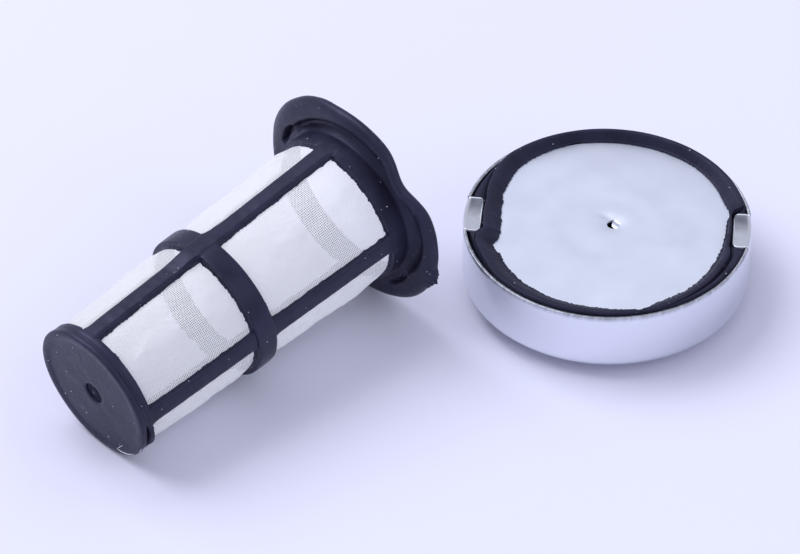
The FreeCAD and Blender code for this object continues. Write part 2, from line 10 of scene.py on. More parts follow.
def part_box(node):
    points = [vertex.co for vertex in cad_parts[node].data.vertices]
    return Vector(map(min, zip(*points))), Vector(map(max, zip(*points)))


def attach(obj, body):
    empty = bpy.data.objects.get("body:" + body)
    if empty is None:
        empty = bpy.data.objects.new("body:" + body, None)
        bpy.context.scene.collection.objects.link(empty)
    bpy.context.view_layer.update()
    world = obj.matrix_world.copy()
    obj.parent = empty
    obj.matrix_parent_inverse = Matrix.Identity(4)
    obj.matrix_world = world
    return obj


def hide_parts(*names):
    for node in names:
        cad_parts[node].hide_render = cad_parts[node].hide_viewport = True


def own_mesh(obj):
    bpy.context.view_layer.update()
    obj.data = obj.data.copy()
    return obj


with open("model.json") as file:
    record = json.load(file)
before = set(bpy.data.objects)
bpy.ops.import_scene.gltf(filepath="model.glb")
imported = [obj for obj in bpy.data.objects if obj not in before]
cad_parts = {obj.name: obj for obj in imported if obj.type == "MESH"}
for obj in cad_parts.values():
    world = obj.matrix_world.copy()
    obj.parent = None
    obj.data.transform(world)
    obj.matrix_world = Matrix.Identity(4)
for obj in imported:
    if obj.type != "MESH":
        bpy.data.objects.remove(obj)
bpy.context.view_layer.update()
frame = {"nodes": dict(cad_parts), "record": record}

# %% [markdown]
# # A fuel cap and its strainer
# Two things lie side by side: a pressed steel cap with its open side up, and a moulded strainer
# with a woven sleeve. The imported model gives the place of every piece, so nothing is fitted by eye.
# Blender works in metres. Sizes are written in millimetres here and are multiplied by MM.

MM = 0.001
BODY_FIXED = "shell_and_strainer"
BODY_PRESSED = "sealing_plate"

# %% [markdown]
# ## Colours and nodes
# Shaders work in linear light, but colours are easiest to read as sRGB hex values, so one
# function turns hex to linear. A second one adds any node with its settings and links. With it
# every material and every Geometry Nodes tree can be read from top to bottom.


# %% Colour and node helpers
def colour(hex_value, alpha=1.0):
    """An sRGB hex value such as 'd6dcec' as linear red, green, blue and alpha."""
    linear = []
    for i in (0, 2, 4):
        part = int(hex_value[i:i + 2], 16) / 255
        linear.append(part / 12.92 if part <= 0.04045 else ((part + 0.055) / 1.055) ** 2.4)
    return (*linear, alpha)


def add_node(tree, kind, settings=None, inputs=None, stops=()):
    """Adds a node with its properties, its inputs (value, socket or node) and a ramp's stops."""
    node = tree.nodes.new(kind)
    for key, value in (settings or {}).items():
        setattr(node, key, value)
    for key, value in (inputs or {}).items():
        if isinstance(value, bpy.types.Node):
            value = value.outputs[0]
        if isinstance(value, bpy.types.NodeSocket):
            tree.links.new(value, node.inputs[key])
        else:
            node.inputs[key].default_value = value
    for number, (position, tone) in enumerate(stops):
        element = node.color_ramp.elements[number]
        element.position, element.color = position, colour(tone)
    return node


def new_material(name):
    """A material with an empty node tree."""
    material = bpy.data.materials.new(name)
    material.use_nodes = True
    material.node_tree.nodes.clear()
    return material, material.node_tree


print("middle grey in linear light: %.3f" % colour("808080")[0])

# %% [markdown]
# ## Moulded black polyolefin
# The strainer's frame is a soft polyolefin moulding. Fresh from the mould it is matt, a little
# violet in a bluish light, blotchy where the melt has flowed, and lightly rubbed. One flat colour
# would look like paint, so three noises, each with its own size in millimetres, make tone, gloss
# and surface uneven. The black pieces share one weak, bluish sheen.

# %% Frame material: moulded black polyolefin
FLOW_MARKS = 7.0 * MM
RUB_MARKS = 0.9 * MM
MOULD_GRAIN = 0.35 * MM
BLACK_SHEEN = {"IOR": 1.5, "Specular IOR Level": 0.33, "Specular Tint": colour("d2d2ff")}


def moulded_polyolefin():
    material, tree = new_material("moulded_black_polyolefin")
    place = add_node(tree, "ShaderNodeTexCoord").outputs["Object"]
    flow = add_node(tree, "ShaderNodeTexNoise", {}, {
        "Vector": place, "Scale": 1 / FLOW_MARKS, "Detail": 4.0, "Roughness": 0.55})
    rub = add_node(tree, "ShaderNodeTexNoise", {}, {
        "Vector": place, "Scale": 1 / RUB_MARKS, "Detail": 5.0, "Roughness": 0.65})
    grain = add_node(tree, "ShaderNodeTexNoise", {}, {
        "Vector": place, "Scale": 1 / MOULD_GRAIN, "Detail": 3.0, "Roughness": 0.55})
    melt = add_node(tree, "ShaderNodeValToRGB", {}, {"Fac": flow}, [(0.30, "1b1b2a"), (0.72, "2b2b3f")])
    worn = add_node(tree, "ShaderNodeValToRGB", {}, {"Fac": rub}, [(0.60, "000000"), (0.80, "171725")])
    tone = add_node(tree, "ShaderNodeMix", {"data_type": "RGBA", "blend_type": "ADD"}, {
        0: 1.0, 6: melt, 7: worn})
    gloss = add_node(tree, "ShaderNodeMapRange", {}, {
        "Value": rub, "From Min": 0.3, "From Max": 0.7, "To Min": 0.33, "To Max": 0.48})
    bump = add_node(tree, "ShaderNodeBump", {}, {"Height": grain, "Strength": 0.12, "Distance": 0.08 * MM})
    wave = add_node(tree, "ShaderNodeBump", {}, {
        "Height": flow, "Strength": 0.25, "Distance": 0.5 * MM, "Normal": bump})
    shader = add_node(tree, "ShaderNodeBsdfPrincipled", {}, {
        "Base Color": tone.outputs[2], "Roughness": gloss, "Normal": wave, **BLACK_SHEEN})
    add_node(tree, "ShaderNodeOutputMaterial", {}, {"Surface": shader})
    return material


FRAME_PLASTIC = moulded_polyolefin()
print("material", FRAME_PLASTIC.name)

# %% [markdown]
# ## Moulded nitrile rubber
# The gasket is nitrile rubber moulded onto the plate. It is darker and duller than the frame,
# with a faint sheen on its rounded crest and a fine bloom. One flat tone would hide the bloom, so
# one noise makes its patches and a finer one makes the surface rougher than the frame's.

# %% Gasket material: moulded nitrile rubber
BLOOM_PATCHES = 5.0 * MM
RUBBER_GRAIN = 0.5 * MM


def nitrile_rubber():
    material, tree = new_material("moulded_nitrile_rubber")
    place = add_node(tree, "ShaderNodeTexCoord").outputs["Object"]
    bloom = add_node(tree, "ShaderNodeTexNoise", {}, {
        "Vector": place, "Scale": 1 / BLOOM_PATCHES, "Detail": 4.0, "Roughness": 0.55})
    fine = add_node(tree, "ShaderNodeTexNoise", {}, {
        "Vector": place, "Scale": 1 / RUBBER_GRAIN, "Detail": 4.0, "Roughness": 0.6})
    tone = add_node(tree, "ShaderNodeValToRGB", {}, {"Fac": bloom}, [(0.30, "1a1a27"), (0.75, "27273a")])
    gloss = add_node(tree, "ShaderNodeMapRange", {}, {
        "Value": fine, "From Min": 0.3, "From Max": 0.7, "To Min": 0.5, "To Max": 0.68})
    bump = add_node(tree, "ShaderNodeBump", {}, {"Height": fine, "Strength": 0.2, "Distance": 0.1 * MM})
    shader = add_node(tree, "ShaderNodeBsdfPrincipled", {}, {
        "Base Color": tone, "Roughness": gloss, "Normal": bump, **BLACK_SHEEN})
    add_node(tree, "ShaderNodeOutputMaterial", {}, {"Surface": shader})
    return material


RUBBER = nitrile_rubber()
print("material", RUBBER.name)

# %% [markdown]
# ## Bright and satin zinc plate
# The shell is pressed from sheet and bright zinc plated: a soft mirror with faint streaks drawn
# up the skirt and a few pits. The plate inside was plated too but not polished, so it only glows.
# One function makes both, and the spring's oiled steel, because they differ only in tone, gloss,
# streaks and pits. Two values stored on the shell's points darken the plating, as painted shade
# towards the far end of each ear and as tarnish along the rim, and roughen it where the sheet is cut.

# %% Cap materials: bright zinc, satin zinc and spring steel
CLOUD_PATCHES = 9.0 * MM
PLATING_GRAIN = 0.7 * MM
PIT_SPACING = 5.5 * MM
CUT_ROUGHNESS = 0.30


def plated_steel(name, tone, gloss_range, streak, pit_tone):
    material, tree = new_material(name)
    place = add_node(tree, "ShaderNodeTexCoord").outputs["Object"]
    drawn = add_node(tree, "ShaderNodeMapping", {}, {"Vector": place, "Scale": (1.0, 1.0, streak)})
    cloud = add_node(tree, "ShaderNodeTexNoise", {}, {
        "Vector": drawn, "Scale": 1 / CLOUD_PATCHES, "Detail": 3.0, "Roughness": 0.55})
    fine = add_node(tree, "ShaderNodeTexNoise", {}, {
        "Vector": drawn, "Scale": 1 / PLATING_GRAIN, "Detail": 4.0, "Roughness": 0.6})
    pits = add_node(tree, "ShaderNodeTexVoronoi", {"feature": "F1"}, {
        "Vector": place, "Scale": 1 / PIT_SPACING, "Randomness": 1.0})
    pit = add_node(tree, "ShaderNodeValToRGB", {}, {"Fac": pits}, [(0.020, pit_tone), (0.034, "ffffff")])
    pitted = add_node(tree, "ShaderNodeMix", {"data_type": "RGBA", "blend_type": "MULTIPLY"}, {
        0: 1.0, 6: colour(tone), 7: pit})
    # A value on the points mixes in the dark tone 5c5e6c: painted shade at the far end of each ear, tarnish
    # on the rim.
    tarnish_and_painted_shade = add_node(tree, "ShaderNodeAttribute", {"attribute_name": "tarnish_and_painted_shade"})
    darkened = add_node(tree, "ShaderNodeMix", {"data_type": "RGBA", "blend_type": "MIX"}, {
        0: tarnish_and_painted_shade.outputs["Fac"], 6: pitted.outputs[2], 7: colour("5c5e6c")})
    gloss = add_node(tree, "ShaderNodeMapRange", {}, {
        "Value": cloud, "From Min": 0.3, "From Max": 0.7, "To Min": gloss_range[0], "To Max": gloss_range[1]})
    cut = add_node(tree, "ShaderNodeAttribute", {"attribute_name": "cut_edge"})
    rougher = add_node(tree, "ShaderNodeMath", {"operation": "MULTIPLY_ADD", "use_clamp": True}, {
        0: cut.outputs["Fac"], 1: CUT_ROUGHNESS, 2: gloss})
    bump = add_node(tree, "ShaderNodeBump", {}, {"Height": fine, "Strength": 0.05, "Distance": 0.05 * MM})
    shader = add_node(tree, "ShaderNodeBsdfPrincipled", {}, {
        "Base Color": darkened.outputs[2], "Metallic": 1.0, "Roughness": rougher, "Normal": bump})
    add_node(tree, "ShaderNodeOutputMaterial", {}, {"Surface": shader})
    return material


BRIGHT_ZINC = plated_steel("bright_zinc_plate", "e3e6ee", (0.14, 0.24), 0.15, "6a6d78")
SATIN_ZINC = plated_steel("satin_zinc_plate", "e3e8f4", (0.46, 0.54), 1.0, "f4f4f6")
SPRING_STEEL = plated_steel("oiled_spring_steel", "8b8d94", (0.30, 0.45), 1.0, "b0b0b4")
print("materials", BRIGHT_ZINC.name, SATIN_ZINC.name, SPRING_STEEL.name)

# %% [markdown]
# ## Woven polyester
# The sleeve is a plain weave of white polyester thread, about 0.1 mm thick at a pitch of about
# 0.25 mm. That is too fine for the picture, so it is drawn at a 0.40 mm pitch. The threads cover
# about four fifths of the cloth, and what lies behind shows greyed through the holes. Threads as
# real geometry would take about a million faces, so they are worked out from the cloth's own UV map.

# %% Sleeve material: white polyester mesh
WEAVE_PITCH = 0.40 * MM
THREAD_SHARE = 0.55
THREAD_GLOW = 0.38


def thread_heights(tree, across, offset):
    """Heights of the threads that run one way: 1 along the middle of a thread, 0 beside it."""
    value = across
    for operation, amount in (("MULTIPLY", 1 / WEAVE_PITCH), ("ADD", offset), ("FRACT", 0.0),
                              ("SUBTRACT", 0.5), ("ABSOLUTE", 0.0), ("DIVIDE", THREAD_SHARE / 2)):
        value = add_node(tree, "ShaderNodeMath", {"operation": operation}, {0: value, 1: amount})
    return add_node(tree, "ShaderNodeMath", {"operation": "SUBTRACT", "use_clamp": True}, {0: 1.0, 1: value})


def woven_polyester():
    material, tree = new_material("woven_white_polyester")
    cloth = add_node(tree, "ShaderNodeUVMap", {"uv_map": "UVMap"})
    axes = add_node(tree, "ShaderNodeSeparateXYZ", {}, {"Vector": cloth})
    height = add_node(tree, "ShaderNodeMath", {"operation": "MAXIMUM"}, {
        0: thread_heights(tree, axes.outputs["X"], 0.0), 1: thread_heights(tree, axes.outputs["Y"], 0.25)})
    cover = add_node(tree, "ShaderNodeMath", {"operation": "GREATER_THAN"}, {0: height, 1: 0.001})
    bump = add_node(tree, "ShaderNodeBump", {}, {"Height": height, "Strength": 0.3, "Distance": 0.04 * MM})
    thread = add_node(tree, "ShaderNodeBsdfPrincipled", {}, {
        "Base Color": colour("ffffff"), "Roughness": 0.7, "Normal": bump, "IOR": 1.57})
    glow = add_node(tree, "ShaderNodeBsdfTranslucent", {}, {"Color": colour("ffffff")})
    yarn = add_node(tree, "ShaderNodeMixShader", {}, {0: THREAD_GLOW, 1: thread, 2: glow})
    hole = add_node(tree, "ShaderNodeBsdfTransparent")
    surface = add_node(tree, "ShaderNodeMixShader", {}, {0: cover, 1: hole, 2: yarn})
    add_node(tree, "ShaderNodeOutputMaterial", {}, {"Surface": surface})
    return material


SLEEVE_WEAVE = woven_polyester()
print("material", SLEEVE_WEAVE.name)

# %% [markdown]
# ## Where the strainer lies
# The record's collar mount gives a point on the strainer's axis and the axis itself. From those
# comes the strainer's own frame: distance from the small end, radius, and direction from the top.
# The frame, the sleeve and the rubbed lines are drawn upright in it and then laid down.

# %% The strainer's own frame
COLLAR_MIDDLE = 68.9 * MM
mounts = {mount["name"]: mount for mount in frame["record"]["mounts"]}
ALONG = -Vector(mounts["strainer_collar"]["axis"]).normalized()
UPWARD = (Vector((0, 0, 1)) - ALONG * ALONG.z).normalized()
SIDEWAYS = ALONG.cross(UPWARD)
SMALL_END = Vector(mounts["strainer_collar"]["pos_m"]) - ALONG * COLLAR_MIDDLE
STRAINER = Matrix.Translation(SMALL_END) @ Matrix((UPWARD, SIDEWAYS, ALONG)).transposed().to_4x4()
print("strainer leans %.2f degrees" % math.degrees(math.asin(ALONG.z)))

# %% [markdown]
# ## From points to a finished piece
# Most pieces are drawn from points and faces, because their outlines change all the way round,
# which a plain lathe or an extrusion can't do. Each one ends in the same steps: merge
# doubles, turn the faces outwards, lay it in place, smooth it, and tell which body it rides.


# %% From points to a piece
def settled_piece(name, mesh, material, body, sharp=35.0):
    """Links a mesh as a piece of the object: smooth, with edges sharper than an angle kept."""
    mesh.materials.clear()
    mesh.materials.append(material)
    mesh.polygons.foreach_set("use_smooth", [True] * len(mesh.polygons))
    mesh.set_sharp_from_angle(angle=math.radians(sharp))
    obj = bpy.data.objects.new(name, mesh)
    bpy.context.scene.collection.objects.link(obj)
    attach(obj, body)
    triangles = sum(len(face.vertices) - 2 for face in mesh.polygons)
    print("%-24s %6d triangles" % (name, triangles))
    return obj


def finished_piece(name, points, faces, material, body, place, sharp):
    """A piece from points in millimetres, set in place, with its finish, body and material slot."""
    mesh = bpy.data.meshes.new(name)
    mesh.from_pydata([Vector(p) * MM for p in points], [], faces)
    work = bmesh.new()
    work.from_mesh(mesh)
    bmesh.ops.remove_doubles(work, verts=work.verts, dist=1e-6)
    bmesh.ops.recalc_face_normals(work, faces=work.faces)
    work.to_mesh(mesh)
    work.free()
    mesh.transform(place)
    return settled_piece(name, mesh, material, body, sharp)


print("pieces ride", BODY_FIXED, "or", BODY_PRESSED)


# %% Small functions for uneven shapes
def ripple(seed, *where):
    """Smooth random value from -1 to 1 at up to three coordinates."""
    x, y, z = (list(where) + [0.0, 0.0, 0.0])[:3]
    return noise.noise(Vector((x + 17.3 * seed, y - 9.1 * seed, z + 4.7 * seed)))


def smooth_step(low, high, value):
    """0 before low, 1 after high and an even S between them; it falls where low is above high."""
    share = min(1.0, max(0.0, (value - low) / (high - low)))
    return share * share * (3 - 2 * share)


def apart(angle, direction):
    """Signed difference of two directions in degrees, the shorter way round."""
    return (angle - direction + 180) % 360 - 180


def close_to(angle, direction, width, power=4):
    """1 at a direction, falling away about this many degrees from it, steeper with more power."""
    return math.exp(-(apart(angle, direction) / width) ** power)


def turned(radius, degrees, height):
    """A point at this radius, direction and height."""
    angle = math.radians(degrees)
    return radius * math.cos(angle), radius * math.sin(angle), height


print("smooth step a third of the way: %.3f" % smooth_step(0, 1, 1 / 3))


# %% Small functions for faces
def turned_faces(first, rows, columns):
    """Faces between rows of points that each close round an axis."""
    faces = []
    for row in range(rows - 1):
        for column in range(columns):
            a = first + row * columns + column
            b = first + row * columns + (column + 1) % columns
            faces.append((a, b, b + columns, a + columns))
    return faces


def sheet_faces(first, rows, width):
    """Faces of a sheet: a grid for its upper side, one for its under side, and the cut edges."""
    faces = []
    under = rows * width
    for start in (first, first + under):
        for row in range(rows - 1):
            for i in range(width - 1):
                a = start + row * width + i
                faces.append((a, a + 1, a + 1 + width, a + width))
    for row in range(rows - 1):
        for i in (0, width - 1):
            a = first + row * width + i
            faces.append((a, a + width, a + width + under, a + under))
    for row in (0, rows - 1):
        for i in range(width - 1):
            a = first + row * width + i
            faces.append((a, a + 1, a + 1 + under, a + under))
    return faces


print("a sheet of 3 by 3 points has", len(sheet_faces(0, 3, 3)), "faces")

# %% [markdown]
# ## The frame's section
# The frame is one moulding: end disc, four ribs, a middle ring, a collar and a soft brim. Boxes
# and rings joined by booleans would leave hard seams. So its section is drawn as one closed line
# from the middle of the face, along the outside, round the brim, and back along the bore. Turned
# about the axis it gives rows of points, and the windows are the cells left out between the ribs.

# %% Sizes of the frame in millimetres
FACE_RADIUS = 15.0
DISC_END = 3.2
FLOOR = 1.9
RIB_FOOT = 14.85
COLLAR_RADIUS = 17.0
COLLAR_START = 67.6
WALL = 1.25
RING_START, RING_END, RING_RADIUS = 31.0, 35.75, 16.2
RIB_WIDTH = 4.0
RIB_TURN = -4.5
BRIM_EDGE = 23.95
BRIM_TOP = 73.9
TAPER = (COLLAR_RADIUS - RIB_FOOT) / (COLLAR_START - DISC_END)
RIB_CELLS, WINDOW_CELLS = 10, 72
QUARTER_CELLS = RIB_CELLS + WINDOW_CELLS
COLUMNS = 4 * QUARTER_CELLS
WINDOW_STEP, BORE_STEP = 0.45, 1.2


def rib_radius(along):
    """Outside of the ribs, which lie on one slender cone."""
    return RIB_FOOT + TAPER * (along - DISC_END)


print("ribs run from %.2f to %.2f mm radius" % (rib_radius(DISC_END), rib_radius(COLLAR_START)))


# %% Rows of the section: end disc, ring and brim
def plain(pairs):
    """Rows (radius, along, zone) that border no window, from (radius, along) pairs."""
    return [(radius, along, "") for radius, along in pairs]


def disc_rows():
    """End disc: sprue recess, flat face, rolled rim, the slit behind the rim, and the back."""
    recess = [(0.45, 0.55), (0.8, 0.75), (1.05, 1.2), (1.6, 1.3), (2.1, 1.22), (2.3, 1.0), (2.36, 0.5),
              (2.6, 0.36), (3.3, 0.34)]
    flat = [(3.3 + 0.9 * i, 0.34) for i in range(1, 11)]
    rim = [(12.7, 0.31), (13.1, 0.18), (13.5, 0.05), (14.0, 0.0), (14.5, 0.03), (14.8, 0.13), (14.95, 0.3),
           (FACE_RADIUS, 0.55), (FACE_RADIUS, 1.0), (14.95, 1.2), (14.8, 1.32)]
    slit = [(14.45, 1.38), (14.0, 1.42), (13.95, 1.57), (14.0, 1.72), (14.5, 1.78), (14.78, 1.88)]
    back = [(14.88, 2.1), (14.88, 2.7)]
    return plain(recess + flat + rim + slit + back)


def ring_rows():
    """Middle ring, proud of the ribs, with rounded edges and a slightly full face."""
    edge = [(0.30, 0.0), (0.12, 0.04), (0.02, 0.18), (0.0, 0.5)]
    rows = [(RING_RADIUS - down, RING_START + inward) for down, inward in edge]
    rows += [(RING_RADIUS + 0.03, (RING_START + RING_END) / 2)]
    rows += [(RING_RADIUS - down, RING_END - inward) for down, inward in reversed(edge)]
    return plain(rows)


def brim_rows():
    """Collar, the trough's floor, the brim's soft edge, and over its back towards the bore."""
    collar = [(17.0, 68.2), (17.0, 69.0), (17.0, 69.9), (16.98, 70.4), (16.95, 70.9), (17.02, 71.05)]
    trough = [(17.2 + 0.28 * i, 71.15) for i in range(12)]
    lip = [(20.6, 71.13), (21.1, 71.1), (21.7, 71.07), (22.2, 71.08), (22.7, 71.2), (23.1, 71.38),
           (23.4, 71.6), (23.65, 71.85), (23.82, 72.1), (23.9, 72.35)]
    over = [(BRIM_EDGE, 72.7), (23.85, 73.1), (23.5, 73.5), (22.8, 73.8), (21.8, 73.95), (20.6, 74.0),
            (19.4, 73.98), (18.2, 73.9), (17.2, 73.6), (16.5, 73.2), (16.1, 72.7), (15.95, 72.0)]
    return plain(collar + trough + lip + over)


print("disc, ring and brim have", len(disc_rows() + ring_rows() + brim_rows()), "rows")


# %% The whole section
def stretch(start, end, step, zone, inward):
    """Rows along a window, at the outside or the inside of the ribs; zone names the window."""
    count = max(2, round(abs(end - start) / step))
    rows = []
    for i in range(count + 1):
        along = start + (end - start) * i / count
        rows.append((rib_radius(along) - (WALL if inward else 0), along, zone))
    return rows


FLOOR_LINE = [(13.55, 2.6), (13.4, 2.2), (13.0, 1.95), (12.4, FLOOR), (9.0, FLOOR), (5.0, FLOOR),
              (1.5, FLOOR)]
SECTION = (disc_rows()
           + stretch(DISC_END, RING_START, WINDOW_STEP, "low", False) + ring_rows()
           + stretch(RING_END, COLLAR_START, WINDOW_STEP, "high", False) + brim_rows()
           + stretch(71.4, COLLAR_START + 0.4, BORE_STEP, "", True)
           + stretch(COLLAR_START, RING_END, WINDOW_STEP, "high", True)
           + stretch(RING_END - 0.5, RING_START + 0.5, BORE_STEP, "", True)
           + stretch(RING_START, DISC_END, WINDOW_STEP, "low", True) + plain(FLOOR_LINE))
TOP_ROW = next(i for i, row in enumerate(SECTION) if row[1] > BRIM_TOP)
LAST_UNEVEN_ROW = TOP_ROW + 9
print("frame section", len(SECTION), "rows")

# %% [markdown]
# ## Uneven ribs, disc and brim
# Real mouldings of this kind are not crisp. The ribs widen where they meet the ring, the top one
# runs on over it, and the brim leans, sags and has a groove whose depth changes. Sculpting
# would give that too, but couldn't be repeated. Here each is a small change of a point's radius,
# direction or distance, with smooth noise from a fixed seed.

# %% Ribs
RIB_FLARE, FLARE_REACH = 0.45, 0.5
OVER_RING_HEIGHT, OVER_RING_RUN = 0.18, 6.5
RIB_ROUNDING, RIB_FLAT_SHARE = 0.32, 0.72


def rib_half_angle(along):
    """Half the angle that a rib covers, wider where it joins the disc, ring and collar."""
    joints = (DISC_END, RING_START, RING_END, COLLAR_START)
    flare = sum(RIB_FLARE * math.exp(-abs(along - joint) / FLARE_REACH) for joint in joints)
    along = min(max(along, DISC_END), COLLAR_START)
    return math.degrees(math.asin((RIB_WIDTH / 2 + flare) / rib_radius(along)))


def columns_at(along):
    """Directions in degrees of every column at one distance, with u from -1 to 1 across a rib."""
    half = rib_half_angle(along)
    columns = []
    for quarter in range(4):
        middle = RIB_TURN + 90 * quarter
        for i in range(RIB_CELLS):
            u = 2 * i / RIB_CELLS - 1
            columns.append((middle + half * u, u))
        for i in range(WINDOW_CELLS):
            share = i / WINDOW_CELLS
            columns.append((middle + half + (90 - 2 * half) * share, 1.0 if i == 0 else None))
    return columns


def over_ring(radius, along, angle, u):
    """Radius of the top rib where it runs on over the middle ring; other points stay."""
    if u is None or abs(apart(angle, RIB_TURN)) > 10:
        return radius
    away = max(RING_START - along, along - RING_END, 0.0)
    share = smooth_step(OVER_RING_RUN, 0.0, away) * smooth_step(1.0, 0.78, abs(u))
    return radius + share * (RING_RADIUS + OVER_RING_HEIGHT - radius)


def on_rib(radius, along, angle, u):
    """A rib's outside, with rounded long edges and a slightly wavering surface."""
    if u is not None:
        edge = max(0.0, (abs(u) - RIB_FLAT_SHARE) / (1 - RIB_FLAT_SHARE))
        radius -= RIB_ROUNDING * edge * edge
    return radius + 0.07 * ripple(3, along * 0.6, angle * 0.1), along


print("a rib covers %.1f degrees at the disc" % (2 * rib_half_angle(DISC_END)))

# %% End disc
SLIT_TURN, SLIT_WIDTH, SLIT_DEPTH, SLIT_MOUTH = 112, 17, 2.4, 14.85
LUG_TURN, LUG_WIDTH, LUG_HEIGHT = 106, 10, 0.75


def on_disc(radius, along, angle):
    """The end disc, with a slit behind its rim at one side only and a small lug beside it."""
    radius += 0.04 * ripple(5, angle * 0.05, along)
    along += 0.06 * ripple(6, radius * 0.3, angle * 0.03) * smooth_step(2, 6, radius)
    if 1.3 < along < 1.8 and radius < 14.7:
        radius = SLIT_MOUTH - (SLIT_MOUTH - radius) * SLIT_DEPTH * close_to(angle, SLIT_TURN, SLIT_WIDTH)
    if along > 1.74 and radius > 13.9:
        radius += LUG_HEIGHT * close_to(angle, LUG_TURN, LUG_WIDTH) * (1 - smooth_step(2.7, 3.2, along))
    return radius, along


print("slit behind the disc's rim at", SLIT_TURN, "degrees from the top")

# %% Brim and its trough
BRIM_LEAN, LEAN_TURN = 0.9, 39
BRIM_ROOT = 17.8
BRIM_WAVES = [(49, 13, -1.8, -1.1), (-53, 22, -0.8, 0.0), (128, 25, -0.4, 0.2)]
CURL_HEIGHT, CURL_TURN, CURL_WIDTH = 1.1, -57, 42
NIB_TURN, NIB_WIDTH = 112, 7
TROUGH_END = 72.0
TROUGH_LINE = [(-76, 19.3, 0.45, 0.0), (-70, 19.3, 0.55, 1.7), (-60, 19.25, 0.65, 2.0),
               (-54, 19.2, 0.5, 1.5), (-51, 18.9, 0.5, 0.3), (-47, 18.5, 0.8, 1.1),
               (-35, 18.35, 1.0, 1.9), (-8, 18.6, 1.5, 2.2), (10, 18.9, 1.9, 2.2), (30, 19.1, 2.2, 2.2),
               (70, 19.1, 2.2, 2.2), (95, 18.9, 1.8, 2.2), (112, 18.6, 1.2, 1.5), (124, 18.6, 0.9, 0.5),
               (131, 19.4, 0.5, 0.8), (140, 19.7, 0.5, 1.6), (147, 19.9, 0.45, 1.1), (151, 20.0, 0.4, 0.0)]


def trough_depth(angle, radius):
    """Depth of the groove between collar and brim; it starts and ends as a narrow slit.

    TROUGH_LINE gives direction, middle radius, half width and depth all along it.
    """
    turn = apart(angle, 0)
    directions, *columns = zip(*TROUGH_LINE)
    if turn <= directions[0] or turn >= directions[-1]:
        return 0.0
    middle, half, depth = (float(np.interp(turn, directions, column)) for column in columns)
    return depth * math.exp(-abs((radius - middle) / half) ** 2.6)


def brim_shift(angle):
    """Rise and spread of the brim's edge; BRIM_WAVES gives direction, width, rise and spread."""
    rise = BRIM_LEAN * math.cos(math.radians(angle - LEAN_TURN))
    wide = 0.0
    for direction, width, lift, spread in BRIM_WAVES:
        bump = close_to(angle, direction, width, 2)
        rise += lift * bump
        wide += spread * bump
    return rise, wide


def on_brim(radius, along, angle):
    """Collar and brim, with the groove, the lean, the waves, a curled stretch and a torn nib."""
    if along < TROUGH_END:
        along += trough_depth(angle, radius)
    share = smooth_step(0, 1, (radius - BRIM_ROOT) / (BRIM_EDGE - BRIM_ROOT))
    rise, wide = brim_shift(angle)
    along += rise * share + 0.10 * share * ripple(8, angle * 0.06, radius * 0.2)
    radius += wide * share + 0.12 * share * ripple(9, angle * 0.09)
    along += CURL_HEIGHT * share ** 1.6 * close_to(angle, CURL_TURN, CURL_WIDTH)
    nib = close_to(angle, NIB_TURN, NIB_WIDTH) * smooth_step(23.0, 23.8, radius)
    radius += nib * (0.5 + 1.5 * abs(ripple(10, angle * 0.7, along * 1.3)))
    return radius, along


print("brim leans by %.1f mm towards %d degrees" % (BRIM_LEAN, LEAN_TURN))


# %% Every point of the frame
def shaped(radius, along, zone, angle, u):
    """Moves one point of the plain section to where the real moulding has it."""
    if DISC_END < along < COLLAR_START:
        radius = over_ring(radius, along, angle, u)
    if radius < 3:
        sunk = smooth_step(0.2, 1.0, 2.4 - radius)
        return radius, along + 0.14 * ripple(7, radius * 1.3, angle * 0.03) * sunk
    if zone:
        return on_rib(radius, along, angle, u)
    if along < DISC_END:
        return on_disc(radius, along, angle)
    if along > COLLAR_START:
        return on_brim(radius, along, angle)
    return radius + 0.06 * ripple(4, angle * 0.08, along * 0.4), along


def frame_points():
    points = []
    for index, (radius, along, zone) in enumerate(SECTION):
        for angle, u in columns_at(along):
            r, s = (radius, along) if index > LAST_UNEVEN_ROW else shaped(radius, along, zone, angle, u)
            points.append(turned(r, angle, s))
    return points


def corner(row, column):
    """Number of the point in this row and column; columns close round the axis."""
    return row * COLUMNS + column % COLUMNS


print("point 0 of row 1 is number", corner(1, 0))

# %% [markdown]
# ## Ragged flash in the windows
# Where the mould pressed on the cloth, thin plastic crept over the sleeve along every window. It
# could be a noise on the edge alone, but then it would have no thickness. So the four walls of
# each window are drawn in steps from outside to inside, and the deeper steps reach further in.

# %% Walls of the windows
FLASH_DEPTHS = (0.45, 0.72, 0.86)
FLASH_REACH = 0.62


def window_border(left, right, last):
    """(row, column) round one window: up its left side, across, down its right side and back."""
    border = [(k, left) for k in range(last + 1)]
    border += [(last, column) for column in range(left + 1, right + 1)]
    border += [(k, right) for k in range(last - 1, -1, -1)]
    return border + [(0, column) for column in range(right - 1, left, -1)]


def flash_pull(k, column, left, right, last, top):
    """Direction from a window's border into the window."""
    tangent = Vector((-top.y, top.x, 0)).normalized()
    pull = Vector((0, 0, 0))
    if column == left:
        pull += tangent
    if column == right:
        pull -= tangent
    if k == 0:
        pull += Vector((0, 0, 1))
    if k == last:
        pull -= Vector((0, 0, 1))
    return pull.normalized()


